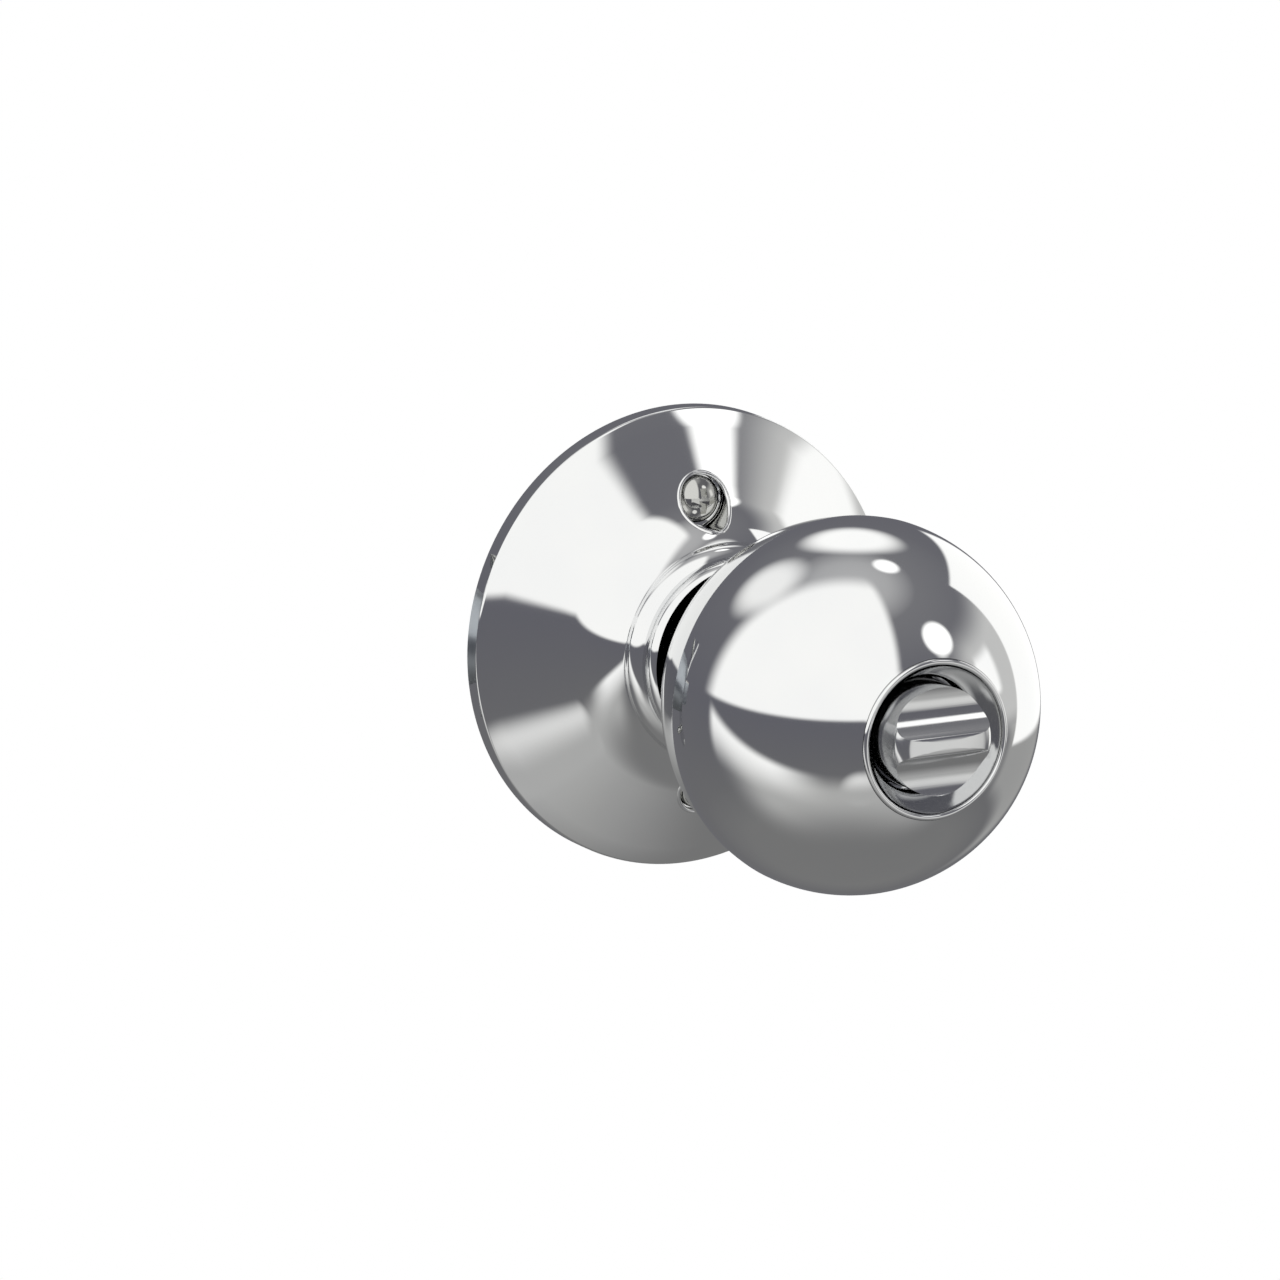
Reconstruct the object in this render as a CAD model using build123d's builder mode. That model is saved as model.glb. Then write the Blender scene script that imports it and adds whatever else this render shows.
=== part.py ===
from build123d import *
import os
from math import cos, radians, sin, sqrt, tan

# Keyed entry knob lock: ball knobs on conical roses, a turn button inside,
# a pin tumbler cylinder outside and a tubular dead-locking latch between them.
# Both knobs turn about the Y axis. The door's inside face is the plane Y = 0 and
# its outside face lies at Y = DOOR_THICKNESS. The latch bolt points to -X, +Z is up.
# Heights in the profiles are measured out of the door face that the half sits on.

# Door
DOOR_THICKNESS = 44.45
BACKSET = 60.325

# Roses: conical pressed covers with a coved neck and a collar
ROSE_RADIUS = 32.5
ROSE_RIM_HEIGHT = 2.9
ROSE_EDGE_ROUND = 0.45
ROSE_WALL = 1.0
CONE_ANGLE = 26.7
CONE_END_RADIUS = 21.0
COVE_RISE = 6.0
NECK_RADIUS = 15.5
SHOULDER_RADIUS = 14.15
SHOULDER_RISE = 2.5
SHOULDER_BULGE = 0.35
COLLAR_GROOVE = 0.35
LIP_RISE = 2.5
COLLAR_BORE = 13.3
COLLAR_BORE_DEPTH = 8.0

# Ball knobs
KNOB_RADIUS = 25.8
KNOB_WALL = 1.2
KNOB_STANDOFF = 9.7
KNOB_BACK_DEPTH = 20.8
KNOB_BACK_RADIUS = 17.4
KNOB_HEEL_RADIUS = 18.1
KNOB_HEEL_RISE = 2.1
CREASE_SETBACK = 0.45
BACK_BULGE = 1.5

# Shanks, bearings and mounting plates
SHANK_RADIUS = 12.0
SHANK_WALL = 1.4
SHANK_FLANGE_RADIUS = 16.2
SHANK_FLANGE_THICKNESS = 1.2
BEARING_CLEARANCE = 0.05
BEARING_WALL = 0.7
BEARING_HEIGHT = 9.5
PLATE_CLEARANCE = 2.0
PLATE_THICKNESS = 1.4
SNAP_RING_RADIUS = 14.0
SNAP_RING_THICKNESS = 1.0
SNAP_RING_GAP = 0.4
SHANK_END_MARGIN = 0.6
ASSEMBLY_GAP = 0.05

# Return springs round the bearings, and the cages that hold them
RETURN_WIRE = 0.45
RETURN_TURNS = 3
RETURN_PITCH = 1.9
CAGE_WALL = 0.7
CAGE_HEIGHT = 7.4
CAGE_LIP = 0.5
SPRING_CLEARANCE = 0.25

# Recess and thumb-turn of the inside knob
LIP_RADIUS = 11.0
LIP_BEAD = 0.42
RECESS_RADIUS = 7.9
RECESS_DEPTH = 3.2
CUP_WALL = 0.8
CUP_DEPTH = 9.0
CUP_FLOOR = 1.6
BUTTON_GAP = 0.5
BUTTON_CROWN_HEIGHT = 3.7
BUTTON_CROWN_RADIUS = 20.0
BUTTON_SKIRT = 7.6
BUTTON_FACE_DROP = 2.8
BUTTON_EDGE_ROUND = 1.2
SCOOP_RADIUS = 4.4
BAR_THICKNESS = 3.2
BAR_NOSE_ROUND = 1.5
STEM_RADIUS = 3.0
STEM_LENGTH = 16.0
STEM_CLEARANCE = 0.06
CLIP_RADIUS = 4.8
CLIP_THICKNESS = 0.8
DRIVER_WIDTH = 4.2
DRIVER_THICKNESS = 1.6
DRIVER_CLEARANCE = 0.2

# Spindle and the latch hub on it
SPINDLE_RADIUS = 4.6
SPINDLE_BORE = 2.9
SPINDLE_FLAT = 3.7
SPINDLE_FLANGE = 3.0
SPINDLE_FLANGE_SETBACK = 8.0
SOCKET_THICKNESS = 2.8
SOCKET_CLEARANCE = 0.05

# Mounting screws and posts
SCREW_SPACING = 40.6
SCREW_RADIUS = 2.05
SCREW_ENGAGEMENT = 21.0
SCREW_HEAD_RADIUS = 3.3
SCREW_HEAD_HEIGHT = 2.5
SCREW_HEAD_EDGE = 0.5
SCREW_SLOT_WIDTH = 0.9
SCREW_SLOT_LENGTH = 3.6
SCREW_SLOT_DEPTH = 1.1
SCREW_HOLE_RADIUS = 3.65
SCREW_CUP_WALL = 0.8
SCREW_SEAT_HEIGHT = 6.2
SCREW_SEAT_THICKNESS = 0.8
POST_RADIUS = 4.0
POST_LENGTH = 32.0
THREAD_CLEARANCE = 0.05

# Lock ring and dog of the outside half
LOCK_RING_RADIUS = 15.5
LOCK_RING_DEPTH = 5.6
LOCK_RING_CLEARANCE = 0.3
NOTCH_PITCH = 40.0
NOTCH_DEPTH = 2.3
DOG_WIDTH = 3.0
DOG_THICKNESS = 2.4
DOG_TRAVEL = 2.0
DOG_SETBACK = 3.4
DOG_CLEARANCE = 0.2
DOG_SINK = 0.15
DOG_FOOT_WIDTH = 1.0
DOG_FOOT_GAP = 0.3
CARRIER_MARGIN = 0.8
CAM_RADIUS = 3.8
CAM_TURN = 90.0
CAM_DWELL = 20.0
CAM_STEPS = 6
TAIL_SLEEVE_RADIUS = 3.3
TAIL_SLEEVE_LENGTH = 14.0
TAIL_SLEEVE_GAP = 0.4
DRIVER_REACH = 2.0
DRIVER_END_GAP = 1.0
OUTSIDE_SHANK_REACH = 9.4

# Cylinder of the outside knob
PLUG_RADIUS = 6.35
PLUG_CLEARANCE = 0.05
PLUG_LENGTH = 28.0
PLUG_HEAD_RADIUS = 7.3
PLUG_HEAD_THICKNESS = 2.0
PLUG_HEAD_GAP = 0.3
CYLINDER_WALL = 2.4
CYLINDER_LENGTH = 25.0
TOWER_WIDTH = 6.6
TOWER_HEIGHT = 12.6
TOWER_CAP = 0.8
TOWER_FRONT_WALL = 1.6
PIN_COUNT = 5
PIN_RADIUS = 1.45
PIN_CLEARANCE = 0.1
PIN_SPACING = 3.96
FIRST_PIN_DEPTH = 7.0
PIN_TIP_RADIUS = 0.45
PIN_TIP_HEIGHT = 1.0
DRIVER_PIN_LENGTH = 3.2
SHEAR_GAP = 0.12
PIN_SPRING_WIRE = 0.2
PIN_SPRING_TURNS = 4
FACE_RING_THICKNESS = 1.6
PLUG_CLIP_RADIUS = 7.6
PLUG_CLIP_THICKNESS = 0.8
TAIL_FLANGE_RADIUS = 5.6
TAIL_FLANGE_THICKNESS = 1.2

# Key
KEY_HEIGHT = 8.0
KEY_THICKNESS = 2.0
KEY_CLEARANCE = 0.15
KEY_BOTTOM = 4.2
KEY_BLADE = 25.0
KEY_CUTS = (1.2, 2.4, 0.7, 1.9, 1.0)
KEY_CUT_FLAT = 1.2
KEY_NECK_LENGTH = 5.0
KEY_NECK_HEIGHT = 10.0
KEY_BOW_LENGTH = 25.0
KEY_BOW_WIDTH = 22.0
KEY_BOW_THICKNESS = 2.4
KEY_RING_HOLE = 3.2
KEY_RING_INSET = 6.0
KEYWAY_EXTRA = 1.0

# Tubular latch
BOLT_THROW = 12.7
FACEPLATE_WIDTH = 25.4
FACEPLATE_HEIGHT = 57.15
FACEPLATE_THICKNESS = 1.6
FACEPLATE_CORNER = 6.35
FACEPLATE_SCREW_SPACING = 41.3
FACEPLATE_SCREW_RADIUS = 1.9
FACEPLATE_SCREW_LENGTH = 19.0
FACEPLATE_HOLE_RADIUS = 2.3
FACEPLATE_SINK_RADIUS = 4.0
TUBE_RADIUS = 11.6
TUBE_WALL = 1.2
TUBE_END = 22.0
BOLT_HEIGHT = 14.0
BOLT_THICKNESS = 10.0
BOLT_SIDE = 6.6
BOLT_TIP = 2.5
BOLT_BODY = 10.0
BOLT_BEVEL_BULGE = 0.9
BOLT_EDGE_ROUND = 0.6
PLUNGER_THICKNESS = 3.0
PLUNGER_HEIGHT = 12.8
PLUNGER_GAP = 0.2
PLUNGER_SETBACK = 1.5
PLUNGER_LENGTH = 19.5
OPENING_CLEARANCE = 0.3
FRAME_PLATE = 1.2
FRAME_HALF_WIDTH = 5.8
FRAME_HEIGHT = 20.0
FRAME_NECK_LENGTH = 5.0
FRAME_END_GAP = 1.3
HUB_RADIUS = 6.0
HUB_CLEARANCE = 0.3
HUB_OVERHANG = 0.4
FINGER_HALF_SWEEP = 40.0
FINGER_THICKNESS = 3.0
TAIL_THICKNESS = 1.2
TAIL_OFFSET = 2.0
TAIL_HEIGHT = 21.2
TAIL_NECK_HEIGHT = 10.0
TAIL_SLOT_CLEARANCE = 0.6
TAIL_REACH = 8.0
HOOK_THICKNESS = 2.2
HOOK_GAP = 0.5
HOOK_REACH = 1.9
HOOK_LOW = 8.2
TAIL_WEB = 1.5
STOP_THICKNESS = 1.5
STOP_HALF_HEIGHT = 3.1
STOP_SETBACK = 2.5
STOP_SIDE = 1.6
BOLT_SPRING_RADIUS = 2.4
BOLT_SPRING_WIRE = 0.25
BOLT_SPRING_TURNS = 9
BOLT_SPRING_OFFSET = 0.9
PLUNGER_SPRING_RADIUS = 1.1
PLUNGER_SPRING_WIRE = 0.2
PLUNGER_SPRING_TURNS = 8
PLUNGER_SPRING_HEIGHT = 4.2
PLUNGER_SPRING_LENGTH = 11.0
TAB_THICKNESS = 1.0
TAB_LOW = 3.4

# Heights above a door face
CONE_TOP = ROSE_RIM_HEIGHT + (ROSE_RADIUS - ROSE_EDGE_ROUND - CONE_END_RADIUS) * tan(radians(CONE_ANGLE))
NECK_HEIGHT = CONE_TOP + COVE_RISE
SHOULDER_HEIGHT = NECK_HEIGHT + SHOULDER_RISE
COLLAR_HEIGHT = SHOULDER_HEIGHT + LIP_RISE
KNOB_BACK_HEIGHT = COLLAR_HEIGHT + KNOB_STANDOFF
KNOB_CENTRE = KNOB_BACK_HEIGHT + KNOB_BACK_DEPTH
LIP_HEIGHT = KNOB_CENTRE + sqrt(KNOB_RADIUS**2 - LIP_RADIUS**2)

# Radii that follow from a fit
PLATE_RADIUS = ROSE_RADIUS - ROSE_WALL - PLATE_CLEARANCE
BEARING_INNER = SHANK_RADIUS + BEARING_CLEARANCE
BEARING_OUTER = BEARING_INNER + BEARING_WALL
SHANK_INNER = SHANK_RADIUS - SHANK_WALL
RETURN_COIL = BEARING_OUTER + SPRING_CLEARANCE + RETURN_WIRE
CAGE_INNER = RETURN_COIL + RETURN_WIRE + SPRING_CLEARANCE
CAGE_OUTER = CAGE_INNER + CAGE_WALL
BUTTON_RADIUS = RECESS_RADIUS - BUTTON_GAP
LATCH_Y = DOOR_THICKNESS / 2
DOOR_EDGE_X = -BACKSET
SCREW_OFFSET = SCREW_SPACING / 2

KNOB_AXIS = Axis((0, 0, 0), (0, 1, 0))

os.makedirs("parts", exist_ok=True)


class DoorSide:
    """One face of the door, with the planes that its half of the lock is drawn on."""

    def __init__(self, name, face_y, outward):
        """Place the side.

        Args:
            name: Word that starts the names of this half's pieces.
            face_y: Where the door face lies along Y.
            outward: -1 where the half stands out towards -Y, and 1 towards +Y.
        """
        self.name = name
        self.face_y = face_y
        self.outward = outward
        self.profile = Plane(origin=(0, face_y, 0), x_dir=(1, 0, 0), z_dir=(0, 0, outward))

    def level(self, height):
        """Return the plane parallel to the door at a height, with Z up in its local Y."""
        origin = (0, self.face_y + self.outward * height, 0)
        return Plane(origin=origin, x_dir=(-self.outward, 0, 0), z_dir=(0, self.outward, 0))


INSIDE = DoorSide("inside", 0.0, -1)
OUTSIDE = DoorSide("outside", DOOR_THICKNESS, 1)


def bulge_point(start, end, rise):
    """Return the middle point of an arc that rises to the right of the way from start to end."""
    run_x = end[0] - start[0]
    run_y = end[1] - start[1]
    length = sqrt(run_x**2 + run_y**2)
    middle_x = (start[0] + end[0]) / 2 + rise * run_y / length
    middle_y = (start[1] + end[1]) / 2 - rise * run_x / length
    return (middle_x, middle_y)


def turned_ring(side, inner, outer, low, high):
    """Return a turned ring between two radii and two heights of a door side."""
    with BuildPart() as ring:
        with BuildSketch(side.profile):
            with Locations(((inner + outer) / 2, (low + high) / 2)):
                Rectangle(outer - inner, high - low)
        revolve(axis=KNOB_AXIS)
    return ring


def coil_spring(plane, coil_radius, wire_radius, length, turns):
    """Return a round-wire coil of a length that starts on a plane and runs along its normal."""
    with BuildPart() as coil:
        with BuildLine() as path:
            Helix(
                pitch=length / turns,
                height=length,
                radius=coil_radius,
                center=plane.origin,
                direction=plane.z_dir,
            )
        with BuildSketch(Plane(origin=path.line @ 0, z_dir=path.line % 0)):
            Circle(wire_radius)
        sweep()
    return coil


def cone_height(radius):
    """Return the height of the rose's cone at a radius."""
    return ROSE_RIM_HEIGHT + (ROSE_RADIUS - ROSE_EDGE_ROUND - radius) * tan(radians(CONE_ANGLE))


def screw_places():
    """Return the two screw positions in a plane parallel to the door."""
    return Locations((0, SCREW_OFFSET), (0, -SCREW_OFFSET))


def make_rose(side, screw_holes):
    """Return a rose: rim, straight cone, cove, neck and collar, hollow behind."""
    rim_top = (ROSE_RADIUS, ROSE_RIM_HEIGHT - ROSE_EDGE_ROUND)
    edge_bulge = ROSE_EDGE_ROUND * (1 - sqrt(0.5))
    cone_foot = (ROSE_RADIUS - ROSE_EDGE_ROUND, ROSE_RIM_HEIGHT)
    cone_end = (CONE_END_RADIUS, CONE_TOP)
    neck = (NECK_RADIUS, NECK_HEIGHT)
    shoulder = (SHOULDER_RADIUS, SHOULDER_HEIGHT)
    groove = (SHOULDER_RADIUS - COLLAR_GROOVE, SHOULDER_HEIGHT)
    groove_top = (SHOULDER_RADIUS - COLLAR_GROOVE, SHOULDER_HEIGHT + COLLAR_GROOVE)
    lip = (COLLAR_BORE, COLLAR_HEIGHT)
    cone_tangent = (-cos(radians(CONE_ANGLE)), sin(radians(CONE_ANGLE)))
    wall_height = ROSE_WALL / cos(radians(CONE_ANGLE))
    inner_rim = ROSE_RADIUS - ROSE_WALL
    inner_cone_end = CONE_END_RADIUS - ROSE_WALL
    with BuildPart() as hollow:
        with BuildSketch(side.profile):
            with BuildLine():
                Polyline(
                    (0, 0),
                    (inner_rim, 0),
                    (inner_rim, cone_height(inner_rim) - wall_height),
                    (inner_cone_end, cone_height(inner_cone_end) - wall_height),
                    (COLLAR_BORE, COLLAR_HEIGHT - COLLAR_BORE_DEPTH),
                    (COLLAR_BORE, COLLAR_HEIGHT),
                    (0, COLLAR_HEIGHT),
                    (0, 0),
                )
            make_face()
        revolve(axis=KNOB_AXIS)
        if screw_holes:
            with BuildSketch(side.level(SCREW_SEAT_HEIGHT - SCREW_SEAT_THICKNESS)):
                with screw_places():
                    Circle(SCREW_HOLE_RADIUS + SCREW_CUP_WALL)
            extrude(amount=COLLAR_HEIGHT, mode=Mode.SUBTRACT)
    with BuildPart() as cover:
        with BuildSketch(side.profile):
            with BuildLine():
                Polyline((0, COLLAR_HEIGHT), (0, 0), (ROSE_RADIUS, 0), rim_top)
                ThreePointArc(rim_top, bulge_point(rim_top, cone_foot, edge_bulge), cone_foot)
                Line(cone_foot, cone_end)
                TangentArc(cone_end, neck, tangent=cone_tangent)
                ThreePointArc(neck, bulge_point(neck, shoulder, SHOULDER_BULGE), shoulder)
                Polyline(shoulder, groove, groove_top)
                ThreePointArc(groove_top, bulge_point(groove_top, lip, SHOULDER_BULGE), lip)
                Line(lip, (0, COLLAR_HEIGHT))
            make_face()
        revolve(axis=KNOB_AXIS)
        add(hollow.part, mode=Mode.SUBTRACT)
        if screw_holes:
            with BuildSketch(side.level(SCREW_SEAT_HEIGHT)):
                with screw_places():
                    Circle(SCREW_HOLE_RADIUS)
            extrude(amount=COLLAR_HEIGHT, mode=Mode.SUBTRACT)
            with BuildSketch(side.level(0)):
                with screw_places():
                    Circle(SCREW_RADIUS + THREAD_CLEARANCE)
            extrude(amount=COLLAR_HEIGHT, mode=Mode.SUBTRACT)
    return cover


def make_knob_shell(side, mouth_radius):
    """Return a hollow ball knob: round front, crease, rounded back, heel and open mouth."""
    crease = (sqrt(KNOB_RADIUS**2 - CREASE_SETBACK**2), KNOB_CENTRE - CREASE_SETBACK)
    heel = (KNOB_HEEL_RADIUS, KNOB_BACK_HEIGHT + KNOB_HEEL_RISE)
    back = (KNOB_BACK_RADIUS, KNOB_BACK_HEIGHT)
    front = (0, KNOB_CENTRE + KNOB_RADIUS)
    front_middle = (KNOB_RADIUS * sqrt(0.5), KNOB_CENTRE + KNOB_RADIUS * sqrt(0.5))
    with BuildPart() as shell:
        with BuildSketch(side.profile):
            with BuildLine():
                Line((0, KNOB_BACK_HEIGHT), back)
                Line(back, heel)
                ThreePointArc(heel, bulge_point(heel, crease, BACK_BULGE), crease)
                ThreePointArc(crease, front_middle, front)
                Line(front, (0, KNOB_BACK_HEIGHT))
            make_face()
        revolve(axis=KNOB_AXIS)
        with BuildSketch(side.profile):
            with BuildLine():
                inner_back = (KNOB_BACK_RADIUS - KNOB_WALL, KNOB_BACK_HEIGHT + KNOB_WALL)
                inner_heel = (KNOB_HEEL_RADIUS - KNOB_WALL, heel[1] + KNOB_WALL / 2)
                inner_crease = (crease[0] - KNOB_WALL, crease[1])
                inner_radius = KNOB_RADIUS - KNOB_WALL
                inner_front = (0, KNOB_CENTRE + inner_radius)
                inner_middle = (inner_radius * sqrt(0.5), KNOB_CENTRE + inner_radius * sqrt(0.5))
                Line((0, inner_back[1]), inner_back)
                Line(inner_back, inner_heel)
                inner_bulge = bulge_point(inner_heel, inner_crease, BACK_BULGE)
                ThreePointArc(inner_heel, inner_bulge, inner_crease)
                ThreePointArc(inner_crease, inner_middle, inner_front)
                Line(inner_front, (0, inner_back[1]))
            make_face()
        revolve(axis=KNOB_AXIS, mode=Mode.SUBTRACT)
        with BuildSketch(side.level(KNOB_CENTRE)):
            Circle(mouth_radius)
        extrude(amount=2 * KNOB_RADIUS, mode=Mode.SUBTRACT)
        with BuildSketch(side.level(0)):
            Circle(SHANK_RADIUS + ASSEMBLY_GAP)
        extrude(amount=KNOB_CENTRE, mode=Mode.SUBTRACT)
    return shell


def make_shank(side, reach, dog_slot):
    """Return the tube that carries a knob through its rose, with a flange inside the knob."""
    flange_low = KNOB_BACK_HEIGHT + KNOB_WALL
    flange_high = flange_low + SHANK_FLANGE_THICKNESS
    flange_radius = min(SHANK_FLANGE_RADIUS, KNOB_BACK_RADIUS - KNOB_WALL)
    with BuildPart() as shank:
        with BuildSketch(side.profile):
            with BuildLine():
                Polyline(
                    (SHANK_INNER, -reach),
                    (SHANK_RADIUS, -reach),
                    (SHANK_RADIUS, flange_low),
                    (flange_radius, flange_low),
                    (flange_radius, flange_high),
                    (SHANK_INNER, flange_high),
                    (SHANK_INNER, -reach),
                )
            make_face()
        revolve(axis=KNOB_AXIS)
        if dog_slot:
            with BuildSketch(side.level(-DOG_SETBACK)):
                with Locations((0, SHANK_RADIUS)):
                    Rectangle(DOG_WIDTH + 2 * DOG_CLEARANCE, 4 * SHANK_WALL)
            extrude(amount=DOG_THICKNESS / 2 + DOG_CLEARANCE, both=True, mode=Mode.SUBTRACT)
    return shank


def make_mounting_plate(side, screw_bosses):
    """Return the round plate behind a rose, with holes for the bearing and the two screws."""
    with BuildPart() as plate:
        with BuildSketch(side.level(0)):
            Circle(PLATE_RADIUS)
            Circle(BEARING_OUTER + ASSEMBLY_GAP, mode=Mode.SUBTRACT)
        extrude(amount=PLATE_THICKNESS)
        if screw_bosses:
            with BuildSketch(side.level(PLATE_THICKNESS)):
                with screw_places():
                    Circle(POST_RADIUS)
            extrude(amount=SCREW_SEAT_HEIGHT - SCREW_SEAT_THICKNESS - PLATE_THICKNESS)
        with BuildSketch(side.level(0)):
            with screw_places():
                Circle(SCREW_RADIUS + THREAD_CLEARANCE)
        extrude(amount=SCREW_SEAT_HEIGHT, mode=Mode.SUBTRACT)
    return plate


def make_cage(side):
    """Return the shallow cup over the return spring, with a lip that holds the coil in."""
    with BuildPart() as cage:
        with BuildSketch(side.profile):
            with BuildLine():
                Polyline(
                    (CAGE_INNER, PLATE_THICKNESS),
                    (CAGE_OUTER, PLATE_THICKNESS),
                    (CAGE_OUTER, PLATE_THICKNESS + CAGE_HEIGHT),
                    (BEARING_OUTER + ASSEMBLY_GAP, PLATE_THICKNESS + CAGE_HEIGHT),
                    (BEARING_OUTER + ASSEMBLY_GAP, PLATE_THICKNESS + CAGE_HEIGHT - CAGE_LIP),
                    (CAGE_INNER, PLATE_THICKNESS + CAGE_HEIGHT - CAGE_LIP),
                    (CAGE_INNER, PLATE_THICKNESS),
                )
            make_face()
        revolve(axis=KNOB_AXIS)
    return cage


def double_d(radius, flat):
    """Draw a round section with two flats, top and bottom, in the open sketch."""
    Circle(radius)
    Rectangle(2 * radius, 2 * flat, mode=Mode.INTERSECT)


# Both halves: roses, plates, bearings, springs, cages and snap rings
INSIDE_SHANK_REACH = SNAP_RING_GAP + SNAP_RING_THICKNESS + SHANK_END_MARGIN
for half, shank_reach in ((INSIDE, INSIDE_SHANK_REACH), (OUTSIDE, OUTSIDE_SHANK_REACH)):
    rose = make_rose(half, half is INSIDE)
    rose.part.label = f"{half.name}_rose"
    export_step(rose.part, f"parts/{half.name}_rose.step")

    mounting_plate = make_mounting_plate(half, half is INSIDE)
    mounting_plate.part.label = f"{half.name}_mounting_plate"
    export_step(mounting_plate.part, f"parts/{half.name}_mounting_plate.step")

    bearing = turned_ring(half, BEARING_INNER, BEARING_OUTER, 0, BEARING_HEIGHT)
    bearing.part.label = f"{half.name}_bearing"
    export_step(bearing.part, f"parts/{half.name}_bearing.step")

    cage = make_cage(half)
    cage.part.label = f"{half.name}_spring_cage"
    export_step(cage.part, f"parts/{half.name}_spring_cage.step")

    coil_start = PLATE_THICKNESS + RETURN_WIRE + SPRING_CLEARANCE / 2
    return_spring = coil_spring(
        half.level(coil_start), RETURN_COIL, RETURN_WIRE, RETURN_TURNS * RETURN_PITCH, RETURN_TURNS
    )
    return_spring.part.label = f"{half.name}_return_spring"
    export_step(return_spring.part, f"parts/{half.name}_return_spring.step")

    shank = make_shank(half, shank_reach, half is OUTSIDE)
    shank.part.label = f"{half.name}_shank"
    export_step(shank.part, f"parts/{half.name}_shank.step")

    snap_high = -SNAP_RING_GAP if half is INSIDE else -(LOCK_RING_DEPTH + SNAP_RING_GAP)
    snap_ring = turned_ring(
        half, SHANK_RADIUS + ASSEMBLY_GAP, SNAP_RING_RADIUS, snap_high - SNAP_RING_THICKNESS, snap_high
    )
    snap_ring.part.label = f"{half.name}_snap_ring"
    export_step(snap_ring.part, f"parts/{half.name}_snap_ring.step")

    shell = make_knob_shell(half, LIP_RADIUS + ASSEMBLY_GAP)
    shell.part.label = f"{half.name}_knob_shell"
    export_step(shell.part, f"parts/{half.name}_knob_shell.step")


# Inside knob: recess cup with a rolled lip, a coned wall, a well and a bush for the stem
CONE_HEIGHT = LIP_HEIGHT - RECESS_DEPTH
WELL_HEIGHT = CONE_HEIGHT - CUP_DEPTH
BUSH_RADIUS = STEM_RADIUS + STEM_CLEARANCE
MOUTH_RADIUS = LIP_RADIUS - 2 * LIP_BEAD
BEAD_CENTRE = LIP_RADIUS - LIP_BEAD
with BuildPart() as recess_cup:
    with BuildSketch(INSIDE.profile):
        with BuildLine():
            Polyline(
                (MOUTH_RADIUS, LIP_HEIGHT),
                (RECESS_RADIUS, CONE_HEIGHT),
                (RECESS_RADIUS, WELL_HEIGHT),
                (BUSH_RADIUS, WELL_HEIGHT),
                (BUSH_RADIUS, WELL_HEIGHT - CUP_FLOOR),
                (RECESS_RADIUS + CUP_WALL, WELL_HEIGHT - CUP_FLOOR),
                (RECESS_RADIUS + CUP_WALL, CONE_HEIGHT - CUP_WALL),
                (BEAD_CENTRE, LIP_HEIGHT - 2 * CUP_WALL),
                (BEAD_CENTRE, LIP_HEIGHT),
                (MOUTH_RADIUS, LIP_HEIGHT),
            )
        make_face()
        with Locations((BEAD_CENTRE, LIP_HEIGHT)):
            Circle(LIP_BEAD)
    revolve(axis=KNOB_AXIS)
recess_cup.part.label = "inside_recess_cup"
export_step(recess_cup.part, "parts/inside_recess_cup.step")

# Turn button: round head, scooped on both sides so that a rounded crossbar stands between
BUTTON_TOP = LIP_HEIGHT + BUTTON_CROWN_HEIGHT
BUTTON_LOW = BUTTON_TOP - BUTTON_FACE_DROP - BUTTON_SKIRT
SHOULDER_REACH = BUTTON_RADIUS - BUTTON_EDGE_ROUND
SHOULDER_LEVEL = sqrt((BUTTON_CROWN_RADIUS - BUTTON_EDGE_ROUND) ** 2 - SHOULDER_REACH**2)
CROWN_SHARE = BUTTON_CROWN_RADIUS / (BUTTON_CROWN_RADIUS - BUTTON_EDGE_ROUND)
CROWN_CENTRE = BUTTON_TOP - BUTTON_CROWN_RADIUS
SCOOP_LIFT = SCOOP_RADIUS - BUTTON_FACE_DROP
SCOOP_OFFSET = BAR_THICKNESS / 2 + sqrt(SCOOP_RADIUS**2 - SCOOP_LIFT**2)
SIDE_SECTION = Plane(origin=(0, 0, 0), x_dir=(0, 0, 1), z_dir=(1, 0, 0))
with BuildPart() as turn_button:
    with BuildSketch(INSIDE.profile):
        with BuildLine():
            side_top = (BUTTON_RADIUS, CROWN_CENTRE + SHOULDER_LEVEL)
            crown_edge = (SHOULDER_REACH * CROWN_SHARE, CROWN_CENTRE + SHOULDER_LEVEL * CROWN_SHARE)
            crown_top = (0, BUTTON_TOP)
            half_edge = crown_edge[0] / 2
            half_way = (half_edge, CROWN_CENTRE + sqrt(BUTTON_CROWN_RADIUS**2 - half_edge**2))
            Polyline(crown_top, (0, BUTTON_LOW), (BUTTON_RADIUS, BUTTON_LOW), side_top)
            TangentArc(side_top, crown_edge, tangent=(0, 1))
            ThreePointArc(crown_edge, half_way, crown_top)
        make_face()
    revolve(axis=KNOB_AXIS)
    with BuildSketch(SIDE_SECTION):
        with Locations(
            (SCOOP_OFFSET, BUTTON_TOP + SCOOP_LIFT),
            (-SCOOP_OFFSET, BUTTON_TOP + SCOOP_LIFT),
        ):
            Circle(SCOOP_RADIUS)
    extrude(amount=BUTTON_RADIUS, both=True, mode=Mode.SUBTRACT)
    nose_edges = turn_button.edges().sort_by_distance((0, -BUTTON_TOP, 0))[:2]
    fillet(nose_edges, radius=BAR_NOSE_ROUND)
turn_button.part.label = "turn_button"
export_step(turn_button.part, "parts/turn_button.step")

STEM_END = BUTTON_LOW - STEM_LENGTH
button_stem = turned_ring(INSIDE, 0, STEM_RADIUS, STEM_END, BUTTON_LOW)
button_stem.part.label = "button_stem"
export_step(button_stem.part, "parts/button_stem.step")

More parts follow.
